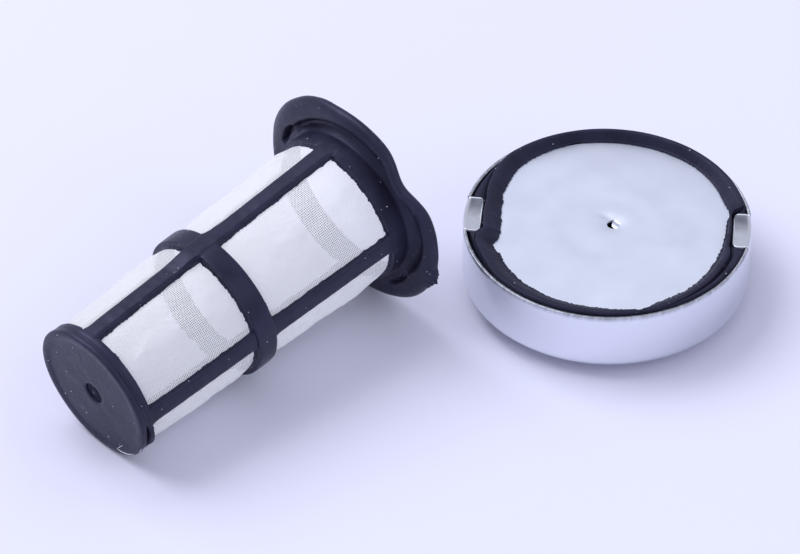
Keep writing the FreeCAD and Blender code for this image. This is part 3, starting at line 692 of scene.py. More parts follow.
def add_window_walls(zone, points, faces):
    """The four walls of each window, drawn out near the sleeve into ragged flash."""
    rows = [i for i, row in enumerate(SECTION) if row[2] == zone]
    outer = [i for i in rows if i < TOP_ROW]
    inner = [i for i in reversed(rows) if i > TOP_ROW]
    last = len(outer) - 1
    for quarter in range(4):
        left = quarter * QUARTER_CELLS + RIB_CELLS
        right = left + WINDOW_CELLS
        strips = []
        distance, before = 0.0, None
        for k, column in window_border(left, right, last):
            top = Vector(points[corner(outer[k], column)])
            bottom = Vector(points[corner(inner[k], column)])
            pull = flash_pull(k, column, left, right, last, top)
            distance += 0.0 if before is None else (top - before).length
            before = top
            rag = 0.55 + 0.6 * ripple(11 + quarter, distance * 0.45)
            rag += 0.7 * max(0, ripple(21, distance * 1.9, quarter))
            strip = [corner(outer[k], column)]
            for depth in FLASH_DEPTHS:
                creep = FLASH_REACH * max(0.0, rag) * smooth_step(0.4, 0.86, depth)
                points.append(tuple(top.lerp(bottom, depth) + pull * creep))
                strip.append(len(points) - 1)
            strips.append(strip + [corner(inner[k], column)])
        for strip, beside in zip(strips, strips[1:] + strips[:1]):
            for d in range(len(strip) - 1):
                faces.append((strip[d], beside[d], beside[d + 1], strip[d + 1]))


print("window walls have", len(FLASH_DEPTHS), "steps between outside and inside")


# %% The frame as one closed skin
def build_frame():
    points, faces = frame_points(), []
    for row in range(len(SECTION) - 1):
        windows = SECTION[row][2] and SECTION[row][2] == SECTION[row + 1][2]
        for column in range(COLUMNS):
            if windows and column % QUARTER_CELLS >= RIB_CELLS:
                continue
            faces.append((corner(row, column), corner(row, column + 1),
                          corner(row + 1, column + 1), corner(row + 1, column)))
    for row, along in ((0, 0.5), (len(SECTION) - 1, FLOOR)):
        points.append((0, 0, along))
        for column in range(COLUMNS):
            faces.append((len(points) - 1, corner(row, column), corner(row, column + 1)))
    for zone in ("low", "high"):
        add_window_walls(zone, points, faces)
    return finished_piece("frame_moulding", points, faces, FRAME_PLASTIC, BODY_FIXED,
                          STRAINER, 35.0)


frame_moulding = build_frame()
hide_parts("strainer_frame")

# %% [markdown]
# ## Geometry Nodes from a script
# The sleeve and the dust each follow a rule, so Geometry Nodes make them. A tree is built here
# with named inputs. It runs in a modifier on a helper object, its result is taken as a plain
# mesh, and the helper goes away again, so nothing live stays on a finished piece.


# %% Helpers for Geometry Nodes
def new_tree(name, inputs):
    """A Geometry Nodes tree with named inputs, their sockets' identifiers, and the inputs."""
    tree = bpy.data.node_groups.new(name, "GeometryNodeTree")
    sockets = {}
    tree.interface.new_socket("Geometry", in_out="INPUT", socket_type="NodeSocketGeometry")
    for label, kind in inputs.items():
        socket = tree.interface.new_socket(label, in_out="INPUT", socket_type="NodeSocket" + kind)
        sockets[label] = socket.identifier
    tree.interface.new_socket("Geometry", in_out="OUTPUT", socket_type="NodeSocketGeometry")
    return tree, sockets, add_node(tree, "NodeGroupInput").outputs


def end_tree(tree, geometry, material):
    """Makes instances real, sets the material and ends the tree."""
    real = add_node(tree, "GeometryNodeRealizeInstances", {}, {"Geometry": geometry})
    dressed = add_node(tree, "GeometryNodeSetMaterial", {}, {"Geometry": real, "Material": material})
    add_node(tree, "NodeGroupOutput", {}, {0: dressed})


def baked(tree, sockets, values, start=None):
    """Runs a tree on a mesh, or on none, and returns its result as a plain mesh."""
    holder = bpy.data.objects.new(tree.name + "_holder", start or bpy.data.meshes.new(tree.name))
    bpy.context.scene.collection.objects.link(holder)
    modifier = holder.modifiers.new("nodes", "NODES")
    modifier.node_group = tree
    for name, value in values.items():
        modifier[sockets[name]] = value
    bpy.context.view_layer.update()
    shown = holder.evaluated_get(bpy.context.evaluated_depsgraph_get())
    mesh = bpy.data.meshes.new_from_object(shown)
    bpy.data.objects.remove(holder)
    return mesh


print("node trees so far:", len(bpy.data.node_groups))

# %% [markdown]
# ## The woven sleeve
# The sleeve is one tube of cloth that was laid in the mould, so it is held wherever plastic
# covers it and swells a little in the windows. A cloth simulation could find that shape, but the
# swell is small and even. So a flat grid is rolled onto the cone and pushed out by a soft bump
# in every window, and the flat grid's own sizes stay on it as its UV map, for the weave.

# %% Sizes of the sleeve
SLEEVE_START, SLEEVE_END = 2.2, 70.6
SLEEVE_GAP = 0.12
CLOTH_GIRTH = 96.6 * MM
HOLD_REACH = 4.0 * MM
RIB_SHARE, OPEN_SHARE = 0.085, 0.83


def window_bump(tree, along, low, high):
    """1 inside a window's length, falling softly to 0 at both of its ends."""
    sides = []
    for first, second in ((along, low), (high, along)):
        gap = add_node(tree, "ShaderNodeMath", {"operation": "SUBTRACT"}, {0: first, 1: second})
        share = add_node(tree, "ShaderNodeMath", {"operation": "DIVIDE"}, {0: gap, 1: HOLD_REACH})
        soft = add_node(tree, "ShaderNodeMath", {"operation": "SMOOTH_MIN"}, {0: share, 1: 1.0, 2: 0.3})
        sides.append(add_node(tree, "ShaderNodeMath", {"operation": "MAXIMUM"}, {0: soft, 1: 0.0}))
    return add_node(tree, "ShaderNodeMath", {"operation": "MULTIPLY"}, {0: sides[0], 1: sides[1]})


def window_dome(tree, around):
    """How far the cloth swells across a quarter: 0 at the ribs, 1 midway between them."""
    turns = add_node(tree, "ShaderNodeMath", {"operation": "MULTIPLY"}, {0: around, 1: 4.0})
    quarter = add_node(tree, "ShaderNodeMath", {"operation": "FRACT"}, {0: turns})
    past_rib = add_node(tree, "ShaderNodeMath", {"operation": "SUBTRACT"}, {0: quarter, 1: RIB_SHARE})
    between = add_node(tree, "ShaderNodeMath", {"operation": "DIVIDE"}, {0: past_rib, 1: OPEN_SHARE})
    left = add_node(tree, "ShaderNodeMath", {"operation": "SUBTRACT"}, {0: 1.0, 1: between})
    arch = add_node(tree, "ShaderNodeMath", {"operation": "MULTIPLY"}, {0: between, 1: left})
    full = add_node(tree, "ShaderNodeMath", {"operation": "MULTIPLY"}, {0: arch, 1: 4.0})
    kept = add_node(tree, "ShaderNodeMath", {"operation": "MAXIMUM"}, {0: full, 1: 0.0})
    return add_node(tree, "ShaderNodeMath", {"operation": "POWER"}, {0: kept, 1: 0.85})


print("sleeve runs from %.1f to %.1f mm" % (SLEEVE_START, SLEEVE_END))


# %% The sleeve's tree
def crumpled(tree, angle, from_end, given):
    """Cosine and sine of the direction, and the swell with its uneven part."""
    cosine = add_node(tree, "ShaderNodeMath", {"operation": "COSINE"}, {0: angle})
    sine = add_node(tree, "ShaderNodeMath", {"operation": "SINE"}, {0: angle})
    length = add_node(tree, "ShaderNodeMath", {"operation": "MULTIPLY"}, {0: from_end, 1: 45.0})
    roll = add_node(tree, "ShaderNodeCombineXYZ", {}, {"X": cosine, "Y": sine, "Z": length})
    crumple = add_node(tree, "ShaderNodeTexNoise", {"noise_dimensions": "4D"}, {
        "Vector": roll, "W": given["Seed"], "Scale": 2.8, "Detail": 2.5})
    centred = add_node(tree, "ShaderNodeMath", {"operation": "SUBTRACT"}, {0: crumple, 1: 0.5})
    uneven = add_node(tree, "ShaderNodeMath", {"operation": "MULTIPLY"}, {0: centred, 1: given["Crumple"]})
    swell = add_node(tree, "ShaderNodeMath", {"operation": "ADD"}, {0: given["Swell"], 1: uneven})
    return cosine, sine, swell


def sleeve_tree():
    tree, sockets, given = new_tree("woven_sleeve_tree", {
        "Length": "Float", "Start Radius": "Float", "Taper": "Float", "Swell": "Float",
        "Crumple": "Float", "Seed": "Float", "Rib Turn": "Float", "Material": "Material"})
    grid = add_node(tree, "GeometryNodeMeshGrid", {}, {
        "Size X": 1.0, "Size Y": 1.0, "Vertices X": 241, "Vertices Y": 171})
    axes = add_node(tree, "ShaderNodeSeparateXYZ", {}, {
        "Vector": add_node(tree, "GeometryNodeInputPosition")})
    around = add_node(tree, "ShaderNodeMath", {"operation": "ADD"}, {0: axes.outputs["X"], 1: 0.5})
    share = add_node(tree, "ShaderNodeMath", {"operation": "ADD"}, {0: axes.outputs["Y"], 1: 0.5})
    along = add_node(tree, "ShaderNodeMath", {"operation": "MULTIPLY"}, {0: share, 1: given["Length"]})
    from_end = add_node(tree, "ShaderNodeMath", {"operation": "ADD"}, {0: along, 1: SLEEVE_START * MM})
    angle = add_node(tree, "ShaderNodeMath", {"operation": "MULTIPLY_ADD"}, {
        0: around, 1: 2 * math.pi, 2: given["Rib Turn"]})
    windows = add_node(tree, "ShaderNodeMath", {"operation": "ADD"}, {
        0: window_bump(tree, from_end.outputs[0], DISC_END * MM, RING_START * MM),
        1: window_bump(tree, from_end.outputs[0], RING_END * MM, COLLAR_START * MM)})
    bumps = add_node(tree, "ShaderNodeMath", {"operation": "MULTIPLY"}, {
        0: window_dome(tree, around), 1: windows})
    cosine, sine, swell = crumpled(tree, angle, from_end, given)
    proud = add_node(tree, "ShaderNodeMath", {"operation": "MULTIPLY"}, {0: bumps, 1: swell})
    cone = add_node(tree, "ShaderNodeMath", {"operation": "MULTIPLY_ADD"}, {
        0: along, 1: given["Taper"], 2: given["Start Radius"]})
    radius = add_node(tree, "ShaderNodeMath", {"operation": "ADD"}, {0: cone, 1: proud})
    x = add_node(tree, "ShaderNodeMath", {"operation": "MULTIPLY"}, {0: radius, 1: cosine})
    y = add_node(tree, "ShaderNodeMath", {"operation": "MULTIPLY"}, {0: radius, 1: sine})
    rolled = add_node(tree, "ShaderNodeCombineXYZ", {}, {"X": x, "Y": y, "Z": from_end})
    girth = add_node(tree, "ShaderNodeMath", {"operation": "MULTIPLY"}, {0: around, 1: CLOTH_GIRTH})
    flat = add_node(tree, "ShaderNodeCombineXYZ", {}, {"X": girth, "Y": along})
    mapped = add_node(tree, "GeometryNodeStoreNamedAttribute", {"data_type": "FLOAT2", "domain": "CORNER"}, {
        "Geometry": grid, "Name": "UVMap", "Value": flat})
    tube = add_node(tree, "GeometryNodeSetPosition", {}, {"Geometry": mapped, "Position": rolled})
    sewn = add_node(tree, "GeometryNodeMergeByDistance", {}, {"Geometry": tube, "Distance": 1e-5})
    end_tree(tree, sewn, given["Material"])
    return tree, sockets


tree, sockets = sleeve_tree()
print("sleeve tree has", len(tree.nodes), "nodes")

# %% The sleeve
sleeve_mesh = baked(tree, sockets, {
    "Length": (SLEEVE_END - SLEEVE_START) * MM,
    "Start Radius": (rib_radius(SLEEVE_START) - WALL + SLEEVE_GAP) * MM, "Taper": TAPER,
    "Swell": 0.70 * MM, "Crumple": 1.9 * MM, "Seed": 4.0,
    "Rib Turn": math.radians(RIB_TURN), "Material": SLEEVE_WEAVE})
sleeve_mesh.transform(STRAINER)
sleeve = settled_piece("woven_sleeve", sleeve_mesh, SLEEVE_WEAVE, BODY_FIXED, 60.0)
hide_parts("strainer_mesh")
print("sleeve area %.1f cm2" % (sum(face.area for face in sleeve_mesh.polygons) * 1e4))

# %% [markdown]
# ## The cap's shell
# The shell is one pressing, so its section is a single sheet line turned about the axis: crown,
# rounded corner and skirt with a raw rim. Screw and Solidify modifiers would give that too, but
# the rim is uneven and is cut away below each ear, so that the ear's bend takes its place. Points
# that are set one by one can follow that.

# %% Sizes of the shell in millimetres
EAR_TURN = -49.4
CAP_TURN = Matrix.Rotation(math.radians(EAR_TURN), 4, "Z")
CAP_RADIUS, CAP_TOP, SHEET = 30.0, 16.5, 0.6
CROWN_LAND, CROWN_RISE, CORNER = 13.0, 3.0, 2.0
EAR_LENGTH, EAR_INNER, EAR_BEND = 10.3, 26.0, 0.9
EAR_HALF_ANGLE = math.degrees(math.asin(EAR_LENGTH / 2 / CAP_RADIUS))
CROWN_LEAN = math.atan(CROWN_RISE / (CAP_RADIUS - CROWN_LAND))
CORNER_CENTRE = CROWN_RISE + CORNER * (1 / math.cos(CROWN_LEAN) - math.tan(CROWN_LEAN))
RIM_STEP = 0.06
SHRINK = 0.03
print("crown leans %.1f degrees" % math.degrees(CROWN_LEAN))


# %% Section of the shell
def shell_side(inset):
    """Points (radius, height) of the sheet's outer side, or of its inner side when inset."""
    side = [(0.0, inset), (6.0, inset), (CROWN_LAND - 1.0, inset)]
    for i in range(1, 9):
        radius = CROWN_LAND + (CAP_RADIUS - CORNER - CROWN_LAND) * i / 8
        side.append((radius - 0.5, inset + (radius - 0.5 - CROWN_LAND) * math.tan(CROWN_LEAN)))
    bend = CORNER - inset
    for i in range(13):
        angle = CROWN_LEAN + (math.pi / 2 - CROWN_LEAN) * i / 12
        side.append((CAP_RADIUS - CORNER + bend * math.sin(angle), CORNER_CENTRE - bend * math.cos(angle)))
    low, top = CORNER_CENTRE, CAP_TOP - 0.12
    return side + [(CAP_RADIUS - inset, low + (top - low) * i / 10) for i in range(1, 11)]


def shell_rows():
    """Points (radius, height) up the outside, over the raw rim, and down the inside."""
    rim = [(CAP_RADIUS - 0.05, CAP_TOP - 0.05), (CAP_RADIUS - 0.11, CAP_TOP), (CAP_RADIUS - 0.33, CAP_TOP),
           (CAP_RADIUS - SHEET + 0.10, CAP_TOP - 0.10), (CAP_RADIUS - SHEET + 0.02, CAP_TOP - 0.14)]
    return shell_side(0.0) + rim + shell_side(SHEET)[::-1]


def shell_directions():
    """Directions of the columns, with a close pair beside each ear where the rim steps down."""
    half = EAR_HALF_ANGLE
    open_rim = 180 - half - half
    directions = [-half + 2 * half * i / 16 for i in range(16)] + [half, half + RIM_STEP]
    directions += [half + open_rim * i / 230 for i in range(1, 230)]
    return [(d + turn) % 360 for turn in (0, 180) for d in directions]


print("shell has", len(shell_rows()), "rows and", len(shell_directions()), "columns")

# %% [markdown]
# ## The folded ears
# Each ear is a tab of the skirt bent inward. Its sheet follows the skirt, turns through a small
# radius and runs in flat, and its free corners are rounded. A bent box would have sharp, even
# edges, but shears leave a bead along a cut edge that catches the light. So a grid across the tab
# is laid along the bent line, closer together at the edges, once for each side of the sheet.

# %% Ears of the shell
EDGE_STEPS = (0.0, 0.05, 0.11, 0.18, 0.25, 0.31, 0.36, 0.5, 0.8)
EDGE_BAND = EDGE_STEPS[-1]
BEAD_HEIGHT, BEAD_WIDTH = 0.15, 0.36
EAR_CORNER = 1.3
EAR_DROOP = 0.30
TIP_DROOP = 0.10


def ear_line(inset):
    """Bent line of the ear's sheet, (distance from the axis, height), ending at the tip."""
    centre = (CAP_RADIUS - EAR_BEND, CAP_TOP - EAR_BEND)
    bend = EAR_BEND - inset
    line = [(centre[0] + bend * math.cos(a), centre[1] + bend * math.sin(a))
            for a in (math.pi / 2 * i / 8 for i in range(9))]
    reach = centre[0] - EAR_INNER
    from_tip = [reach - (reach - EDGE_BAND) * i / 7 for i in range(1, 7)] + list(reversed(EDGE_STEPS))
    line += [(EAR_INNER + left, CAP_TOP - inset - TIP_DROOP * (1 - left / reach) ** 2) for left in from_tip]
    return line


def cut_bead(from_edge):
    """Height of the bead that the shears leave along a cut edge."""
    return BEAD_HEIGHT * math.sin(math.pi * from_edge / BEAD_WIDTH) if from_edge < BEAD_WIDTH else 0.0


def ear_point(radius, height, place, turn, upper):
    """A point of one ear, this far along its width; the near end of each ear droops a little."""
    from_tip = radius - EAR_INNER
    round_in = EAR_CORNER - math.sqrt(max(0.0, EAR_CORNER ** 2 - max(0.0, EAR_CORNER - from_tip) ** 2))
    y = (place - EAR_LENGTH / 2) * (1 - 2 * round_in / EAR_LENGTH)
    straight = 1 - smooth_step(0.0, 2.2, from_tip)
    x = straight * radius + (1 - straight) * math.sqrt(max(0.0, radius ** 2 - y ** 2))
    lift = cut_bead(min(place, EAR_LENGTH - place, max(0.0, from_tip))) if upper else 0.0
    near = place / EAR_LENGTH if turn else 1 - place / EAR_LENGTH
    lift -= EAR_DROOP * near ** 2 * smooth_step(30.0, 28.6, radius)
    angle = math.radians(turn)
    return x * math.cos(angle) - y * math.sin(angle), x * math.sin(angle) + y * math.cos(angle), height + lift


def add_ear(points, faces, turn):
    """Adds one ear at this direction to the shell's points and faces."""
    first = len(points)
    sides = [ear_line(0.0), ear_line(SHEET)]
    middle = [EDGE_BAND + (EAR_LENGTH - 2 * EDGE_BAND) * i / 14 for i in range(1, 14)]
    places = list(EDGE_STEPS) + middle + [EAR_LENGTH - step for step in reversed(EDGE_STEPS)]
    for side, line in enumerate(sides):
        for radius, height in line:
            points += [ear_point(radius, height, place, turn, side == 0) for place in places]
    faces += sheet_faces(first, len(sides[0]), len(places))


print("an ear's sheet line has", len(ear_line(0.0)), "points")

# %% [markdown]
# ## Shell, painted shade, tarnish and cut edges
# Now the rows are turned, the ears are added, and two values are stored on the points for the
# plating: how dark it is, as painted shade towards the far end of each ear and as tarnish along the
# rim, and where the sheet was cut. Painting them by hand would do too, but a rule stays right when
# a size changes.

# %% Rim, tarnish and painted shade of the shell
RIM_BAND = 1.0
LOW_RIM_TURN, LOW_RIM_WIDTH, LOW_RIM_DEPTH = 80, 58, 0.3
# Painted shade on the far end of the ears, and tarnish on the rim:
EAR_PAINTED_SHADE, RIM_DULLING = 0.72, 0.48


def rim_height(height, direction):
    """Height of a point of the skirt: the rim is uneven, lower at one side, and cut at the ears."""
    if height > CAP_TOP - EAR_BEND:
        beside_ear = min(abs(apart(direction, 0)), abs(apart(direction, 180)))
        if beside_ear <= EAR_HALF_ANGLE + 0.01:
            return CAP_TOP - EAR_BEND
    if height <= CAP_TOP - RIM_BAND:
        return height
    lowered = LOW_RIM_DEPTH * close_to(direction, LOW_RIM_TURN, LOW_RIM_WIDTH, 6)
    share = smooth_step(CAP_TOP - RIM_BAND, CAP_TOP - 0.1, height)
    return height + share * (0.05 * ripple(32, direction * 1.1) - 0.06 - lowered)


def add_painted_shade_and_wear(mesh):
    """Stores painted shade on the ears and tarnish on the rim, and where the sheet is cut, on the shell's
    points.
    """
    back = CAP_TURN.inverted()
    tarnish_and_painted_shade = mesh.attributes.new("tarnish_and_painted_shade", "FLOAT", "POINT")
    cut_edge = mesh.attributes.new("cut_edge", "FLOAT", "POINT")
    for index, point in enumerate(mesh.vertices):
        x, y, z = (back @ point.co) / MM
        radius = math.hypot(x, y)
        on_ear = smooth_step(29.3, 28.9, radius) * smooth_step(CAP_TOP - 0.45, CAP_TOP - 0.3, z)
        from_edge = min(EAR_LENGTH / 2 - abs(y), radius - EAR_INNER)
        # Painted shade: each ear is darkened towards its far end, on the same side for both ears.
        darkened = max(0.0, EAR_PAINTED_SHADE * smooth_step(-2.0, 3.6, y) + 0.13 * ripple(71, x * 0.8, y * 0.8))
        darkened *= smooth_step(0.3, 0.42, from_edge)
        on_rim = smooth_step(29.25, 29.4, radius) * smooth_step(CAP_TOP - 0.3, CAP_TOP - 0.2, z)
        on_rim *= smooth_step(4.9, 5.4, abs(y)) if abs(x) > 25 else 1.0
        tarnish = RIM_DULLING + 0.35 * ripple(72, x * 1.6, y * 1.6)
        tarnish_and_painted_shade.data[index].value = on_ear * darkened + on_rim * tarnish
        cut_edge.data[index].value = max(on_rim, on_ear * smooth_step(0.42, 0.30, from_edge))


print("rim dips by %.1f mm at %d degrees" % (LOW_RIM_DEPTH, LOW_RIM_TURN))


# %% The shell with its ears
def build_shell():
    directions, rows = shell_directions(), shell_rows()
    points = []
    for radius, height in rows:
        for direction in directions:
            spread = 0.03 * ripple(31, direction * 0.04, height * 0.2) if radius > 20 else 0
            points.append(turned(radius + spread - SHRINK, direction, rim_height(height, direction)))
    faces = turned_faces(0, len(rows), len(directions))
    for turn in (0, 180):
        add_ear(points, faces, turn)
    shell = finished_piece("pressed_shell", points, faces, BRIGHT_ZINC, BODY_FIXED,
                           CAP_TURN, 40.0)
    add_painted_shade_and_wear(shell.data)
    return shell


pressed_shell = build_shell()
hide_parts("cap_shell")

# %% [markdown]
# ## The baffle plate
# A flat disc with a shallow round boss. In its middle the sheet is lanced: a small tongue is cut
# free, bent down and leaves a half-moon hole for air. A boolean would cut the hole but spoil the
# smooth shading round it. So rings of points start at the hole and grow into rings of the plate.

# %% Sizes of the plate in millimetres
PLATE_TOP, PLATE_SHEET, PLATE_RADIUS = 15.1, 0.5, 27.35
BOSS_RADIUS, BOSS_DEPTH, BOSS_SLOPE = 9.85, 0.10, 2.5
VENT = Vector((1.2, 1.2))
VENT_RADIUS = 1.35
VENT_SINK, VENT_SINK_REACH = 0.30, 1.9
DENT_X, DENT_Y, DENT_LENGTH, DENT_WIDTH, DENT_DEPTH = -0.2, 3.4, 1.3, 0.7, 0.16
PLATE_COLUMNS = 144


def plate_surface(x, y):
    """Height of the plate's upper side, with the faint boss, the sunk vent and a small dent."""
    from_axis = math.hypot(x, y)
    from_vent = math.hypot(x - VENT.x, y - VENT.y)
    on_boss = 1 - smooth_step(BOSS_RADIUS - BOSS_SLOPE, BOSS_RADIUS + BOSS_SLOPE, from_axis)
    height = PLATE_TOP - BOSS_DEPTH * on_boss
    height -= VENT_SINK * math.exp(-(from_vent / VENT_SINK_REACH) ** 2)
    dent = math.exp(-((x - DENT_X) / DENT_LENGTH) ** 2 - ((y - DENT_Y) / DENT_WIDTH) ** 2)
    height -= DENT_DEPTH * dent
    return height + 0.006 * ripple(41, x * 0.12, y * 0.12)


print("plate's upper side is %.2f mm high at its edge" % plate_surface(PLATE_RADIUS, 0.0))

# %% The vent's tongue
TONGUE_ROWS, TONGUE_WIDTH = 13, 19
TONGUE_HINGE, TONGUE_LENGTH = 1.02 * VENT_RADIUS, 0.95 * VENT_RADIUS
TONGUE_TURN = math.radians(48)
TONGUE_DIP = 1.0
TONGUE_SHEET = 0.35


def add_vent_tongue(points, faces):
    """The lanced tongue: a part disc, hinged at the far side of the hole and bent steeply down."""
    first = len(points)
    hinge_height = plate_surface(VENT.x + VENT_RADIUS, VENT.y)
    for side in (0, 1):
        for row in range(TONGUE_ROWS):
            away = TONGUE_LENGTH * row / (TONGUE_ROWS - 1)
            half = VENT_RADIUS * 0.8 * math.sqrt(max(0.0, 1 - (away / TONGUE_LENGTH) ** 3)) + 0.03
            dip = TONGUE_DIP * smooth_step(0.1, TONGUE_LENGTH, away) + 0.12 * ripple(42, away * 2.0)
            x = TONGUE_HINGE - away
            for i in range(TONGUE_WIDTH):
                y = half * (2 * i / (TONGUE_WIDTH - 1) - 1)
                px = VENT.x + x * math.cos(TONGUE_TURN) - y * math.sin(TONGUE_TURN)
                py = VENT.y + x * math.sin(TONGUE_TURN) + y * math.cos(TONGUE_TURN)
                bent = 0.05 * ripple(43, px * 1.5, py * 1.5)
                points.append((px, py, hinge_height - dip + bent - TONGUE_SHEET * side))
    faces += sheet_faces(first, TONGUE_ROWS, TONGUE_WIDTH)


print("tongue is %.1f mm long" % TONGUE_LENGTH)


# %% The plate
def build_plate():
    rings = [VENT_RADIUS + 0.12 * i for i in range(4)] + [2.0 + 0.7 * i for i in range(1, 37)]
    points = []
    for side in (0, 1):
        for ring in rings:
            centre = VENT * (1 - smooth_step(3.0, 24.0, ring))
            reach = min(ring, PLATE_RADIUS)
            for i in range(PLATE_COLUMNS):
                angle = 2 * math.pi * i / PLATE_COLUMNS
                x = centre.x + reach * math.cos(angle)
                y = centre.y + reach * math.sin(angle)
                points.append((x, y, plate_surface(x, y) - PLATE_SHEET * side))
    under = len(rings) * PLATE_COLUMNS
    faces = turned_faces(0, len(rings), PLATE_COLUMNS) + turned_faces(under, len(rings), PLATE_COLUMNS)
    for ring in (0, len(rings) - 1):
        for i in range(PLATE_COLUMNS):
            a, b = ring * PLATE_COLUMNS + i, ring * PLATE_COLUMNS + (i + 1) % PLATE_COLUMNS
            faces.append((a, b, b + under, a + under))
    add_vent_tongue(points, faces)
    return finished_piece("baffle_plate", points, faces, SATIN_ZINC, BODY_PRESSED,
                          CAP_TURN, 40.0)


baffle_plate = build_plate()
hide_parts("cap_plate")

# %% [markdown]
# ## The moulded gasket
# The rubber ring grips the plate's edge. Its crest is an oval band, lower outside it so that the
# ears have room, and its thin inner lip has torn unevenly where it was trimmed. A turned profile
# would be the same all round. So the ring is drawn as many thin slices, and the tear, the crest,
# the outer edge and the flange each follow a line of their own, given as directions and values.

# %% Lines round the gasket in millimetres
GASKET_BOTTOM, LIP_TOP, CREST_TOP = 13.62, 15.58, 17.2
TORN_LIP = [(0, 24.45), (8, 24.8), (12, 25.6), (15, 26.3), (18, 25.7), (25, 25.7), (33, 26.1), (41, 26.4),
            (51, 26.8), (73, 27.0), (101, 27.1), (107, 27.5), (113, 27.1), (120, 26.9), (127, 26.7),
            (135, 26.2), (143, 25.6), (150, 24.6), (160, 23.7), (165, 22.9), (171, 22.5), (180, 22.0),
            (190, 22.2), (196, 23.0), (199, 24.6), (204, 24.6), (207, 23.9), (213, 24.4), (222, 24.8),
            (233, 25.1), (245, 25.4), (260, 25.5), (271, 25.7), (279, 26.1), (285, 26.5), (286, 27.8),
            (288, 27.7), (290, 26.9), (293, 26.4), (297, 25.6), (310, 25.5), (318, 25.2), (334, 24.6),
            (350, 24.4), (360, 24.45)]
CREST_LINE = [(0, 25.75), (11.5, 25.8), (13.5, 28.2), (15, 29.0), (18, 29.15), (138, 29.15), (145, 28.7),
              (152, 28.0), (159, 27.2), (166, 26.4), (170, 25.85), (190, 25.75), (194, 27.4), (198, 28.3),
              (206, 28.3), (215, 28.7), (222, 29.12), (293, 29.12), (300, 28.9), (310, 28.4), (322, 27.9),
              (334, 27.4), (343, 27.0), (348.5, 25.8), (360, 25.75)]
OUTER_LINE = [(0, 29.1), (13, 29.1), (16, 29.2), (138, 29.2), (165, 29.1), (184, 29.1), (192, 28.6),
              (206, 28.5), (216, 28.85), (222, 29.12), (360, 29.1)]
FLANGE_LINE = [(0, 15.8), (12, 15.8), (14, 16.6), (18, 16.7), (138, 16.7), (152, 16.15), (166, 15.9),
               (168, 15.8), (192, 15.8), (196, 16.6), (290, 16.8), (312, 16.65), (332, 16.4), (343, 16.1),
               (348, 15.8), (360, 15.8)]


def along_ring(line, degrees):
    """Value of a (direction, value) line at one direction."""
    return float(np.interp(degrees % 360, *zip(*line)))


def torn_radius(degrees):
    """Radius of the torn lip: its line with fine ragged noise, cleaner at the far side."""
    rough = 0.4 + 1.0 * smooth_step(25, 75, abs(apart(degrees, 60)))
    ragged = 0.14 * ripple(51, degrees * 0.5) + 0.16 * ripple(52, degrees * 1.6)
    ragged += 0.08 * ripple(54, degrees * 3.7)
    return along_ring(TORN_LIP, degrees) + rough * ragged


print("torn lip at the right ear: %.2f mm radius" % torn_radius(0))

# %% Section of the gasket
GASKET_MOUTH = 25.0
FOOT_RADIUS = 28.87
GROOVE_DEPTH, FLANGE_BULGE = 0.32, 0.22
CREST_RISE, CREST_TURN, CREST_WIDTH = 0.28, 80, 62
FLANGE_LIFT, LIFT_TURN, LIFT_WIDTH = 0.32, 324, 22


def lip_and_crest(inner, crest, lip, top_height):
    """From the plate's underside round the torn lip and up the soft slope onto the crest."""
    seat = PLATE_TOP - 0.05
    section = [(GASKET_MOUTH, GASKET_BOTTOM), (GASKET_MOUTH, PLATE_TOP - PLATE_SHEET - 0.05),
               (inner + 0.9, seat - 0.02), (inner + 0.05, seat), (inner - 0.02, seat + 0.2),
               (inner, lip - 0.12), (inner + 0.1, lip - 0.02), (inner + 0.3, lip)]
    start, end = inner + 0.3, max(inner + 0.9, crest - 0.75)
    for i in range(1, 15):
        share = i / 14
        dome = smooth_step(-0.25, 1.0, share) * 1.12 - 0.12
        section.append((start + (end - start) * share, lip + (top_height - 0.05 - lip) * max(0.0, dome)))
    return section + [(crest - 0.5, top_height), (crest - 0.25, top_height - 0.02),
                      (crest - 0.1, top_height - 0.08), (crest - 0.02, top_height - 0.25)]


def flange_part(crest, outer, low, rise):
    """From the crest's foot to the outer edge: a groove and a bulged flange where there is room."""
    beyond = outer - crest
    if beyond <= 0.12:
        return [(crest + beyond * share, low - 0.04 * k)
                for k, share in enumerate((0.0, 0.1, 0.25, 0.4, 0.6, 0.8, 0.9, 1.0))]
    groove = GROOVE_DEPTH * smooth_step(0.12, 0.5, beyond)
    reach = min(1.0, beyond)
    section = [(crest, low - 0.5 * groove), (crest + 0.10 * reach, low - groove),
               (crest + 0.22 * reach, low - 0.6 * groove)]
    section += [(crest + beyond * share, low + FLANGE_BULGE * math.sin(math.pi * share) + rise * share)
                for share in (0.4, 0.6, 0.8)]
    return section + [(outer - 0.12, low + rise - 0.03), (outer, low + rise - 0.2)]


def gasket_profile(degrees):
    """Points (radius, height) round the ring's section at one direction."""
    crest, outer = along_ring(CREST_LINE, degrees), along_ring(OUTER_LINE, degrees)
    top_height = CREST_TOP + CREST_RISE * close_to(degrees, CREST_TURN, CREST_WIDTH)
    top_height += 0.05 * ripple(53, degrees * 0.06)
    lip = LIP_TOP + 0.05 * ripple(55, degrees * 0.3)
    low = min(along_ring(FLANGE_LINE, degrees), top_height - 0.35)
    rise = FLANGE_LIFT * close_to(degrees, LIFT_TURN, LIFT_WIDTH)
    foot = [(outer, 15.4), (min(outer, FOOT_RADIUS), 14.8), (FOOT_RADIUS, GASKET_BOTTOM + 0.2),
            (FOOT_RADIUS - 0.2, GASKET_BOTTOM)]
    inside = lip_and_crest(torn_radius(degrees), crest, lip, top_height)
    return inside + flange_part(crest, outer, low, rise) + foot


print("gasket's section has", len(gasket_profile(0)), "points")

# %% The gasket
SLICES = 900


